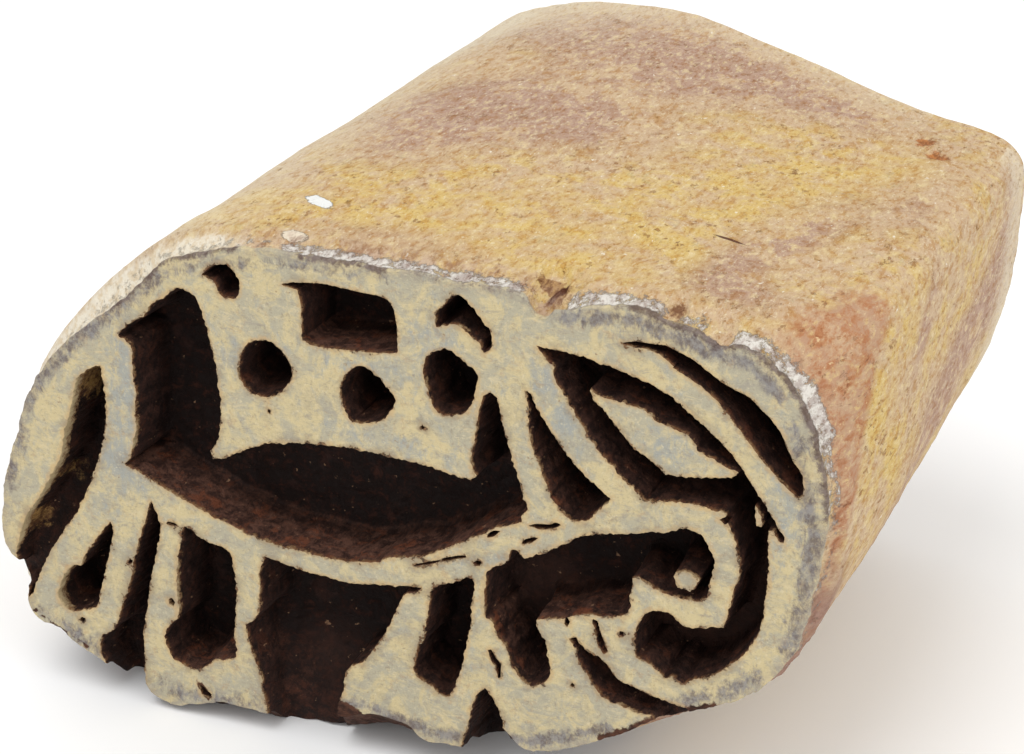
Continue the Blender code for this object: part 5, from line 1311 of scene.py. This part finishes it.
    # ---- gloss and relief
    rough_wood = g.ramp(n_fine, 0.3, 0.7, 0.60, 0.80)
    rough_coat = g.ramp(brush, 0.3, 0.7, 0.62, 0.85)
    rough_rec = g.ramp(tool, 0.3, 0.7, 0.62, 0.90)

    def blend(f, a, b):
        return g.add(g.mul(a, g.inv(f)), g.mul(b, f))
    rough = blend(rec, blend(ragged_face, rough_wood, rough_coat), rough_rec)
    rough = g.top(rough, g.mul(chalk, g.inv(rec), 0.9))
    g.put(g.bsdf.inputs["Roughness"], rough)
    g.put(g.bsdf.inputs["Specular IOR Level"], 0.18)
    h_wood = g.add(g.mul(n_fine, 0.8), g.mul(n_grit, 0.5), g.mul(g.ramp(n_speck, 0.6, 0.7), clusters, -0.5),
                   g.mul(g.ramp(n_patch, 0.64, 0.76), -0.8), g.mul(chalk, 0.8), g.mul(crack, -1.0), g.mul(flakes, 0.9),
                   g.mul(saw_mask, -0.6), g.mul(ring_mask, -0.25))
    h_coat = g.add(g.mul(brush, 0.5), g.mul(dots, 0.35), g.mul(n_grit, 0.3), g.mul(worn, -0.4), g.mul(rim_smear_shadow_mask, -0.15))
    h_rec = g.add(g.mul(tool, 1.5), g.mul(patchy, 0.6), g.mul(crumb, 0.6))
    height = blend(rec, blend(ragged_face, h_wood, h_coat), h_rec)
    g.put(g.bsdf.inputs["Normal"], g.bump(height, 0.00016, 0.9))
    return g.mat

bpy.context.scene.view_settings.view_transform = "Standard"
block, face_curve = build_block()
curves = cut_all(block)
paint(block, face_curve, curves)
block.data.materials.clear()
block.data.materials.append(wood_material())
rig.replaces(block, "carved_block")
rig.slot(block, "carved_wood")
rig.ride(block, "root")

fg = Graph("floor_white")
fg.put(fg.bsdf.inputs["Base Color"], (0.9, 0.9, 0.9))
fg.put(fg.bsdf.inputs["Roughness"], 0.9)
bpy.ops.mesh.primitive_plane_add(size=6.0)
floor = bpy.context.object
floor.name = "studio_floor"
floor.data.materials.append(fg.mat)
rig.stage(floor)

world = bpy.data.worlds.new("studio")
bpy.context.scene.world = world
world.use_nodes = True
world.node_tree.nodes["Background"].inputs[0].default_value = (1, 1, 1, 1)
world.node_tree.nodes["Background"].inputs[1].default_value = 0.92

def softbox(name, at, to, size, power):
    data = bpy.data.lights.new(name, "AREA")
    data.shape = "DISK"
    data.size = size
    data.energy = power
    ob = bpy.data.objects.new(name, data)
    bpy.context.scene.collection.objects.link(ob)
    ob.location = at
    ob.rotation_euler = (Vector(to) - Vector(at)).to_track_quat("-Z", "Y").to_euler()
    return ob

softbox("key", (-0.12, -0.35, 0.75), (0, 0, 0.015), 0.5, 2.6)
softbox("fill_right", (0.65, -0.30, 0.35), (0, 0, 0.015), 0.5, 1.5)

cam_data = bpy.data.cameras.new("view")
cam_data.sensor_width = 36.0
cam_data.lens = 82.23
cam = bpy.data.objects.new("view", cam_data)
bpy.context.scene.collection.objects.link(cam)
CAM_C = np.array([52.5715, -111.6528, 61.4984]) - np.array([CENTRE_X, CENTRE_Y, REST_Z])
cam.location = (CAM_C * MM).tolist()
fw = Vector((-0.35390, 0.84602, -0.39875)).normalized()
cam.rotation_euler = fw.to_track_quat("-Z", "Y").to_euler()
bpy.context.scene.camera = cam
cam_data.clip_start = 0.01
cam_data.clip_end = 20

json.dump({"cad": CAD_BOX, "visual": as_lists(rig.bounds())}, open("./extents.json", "w"))
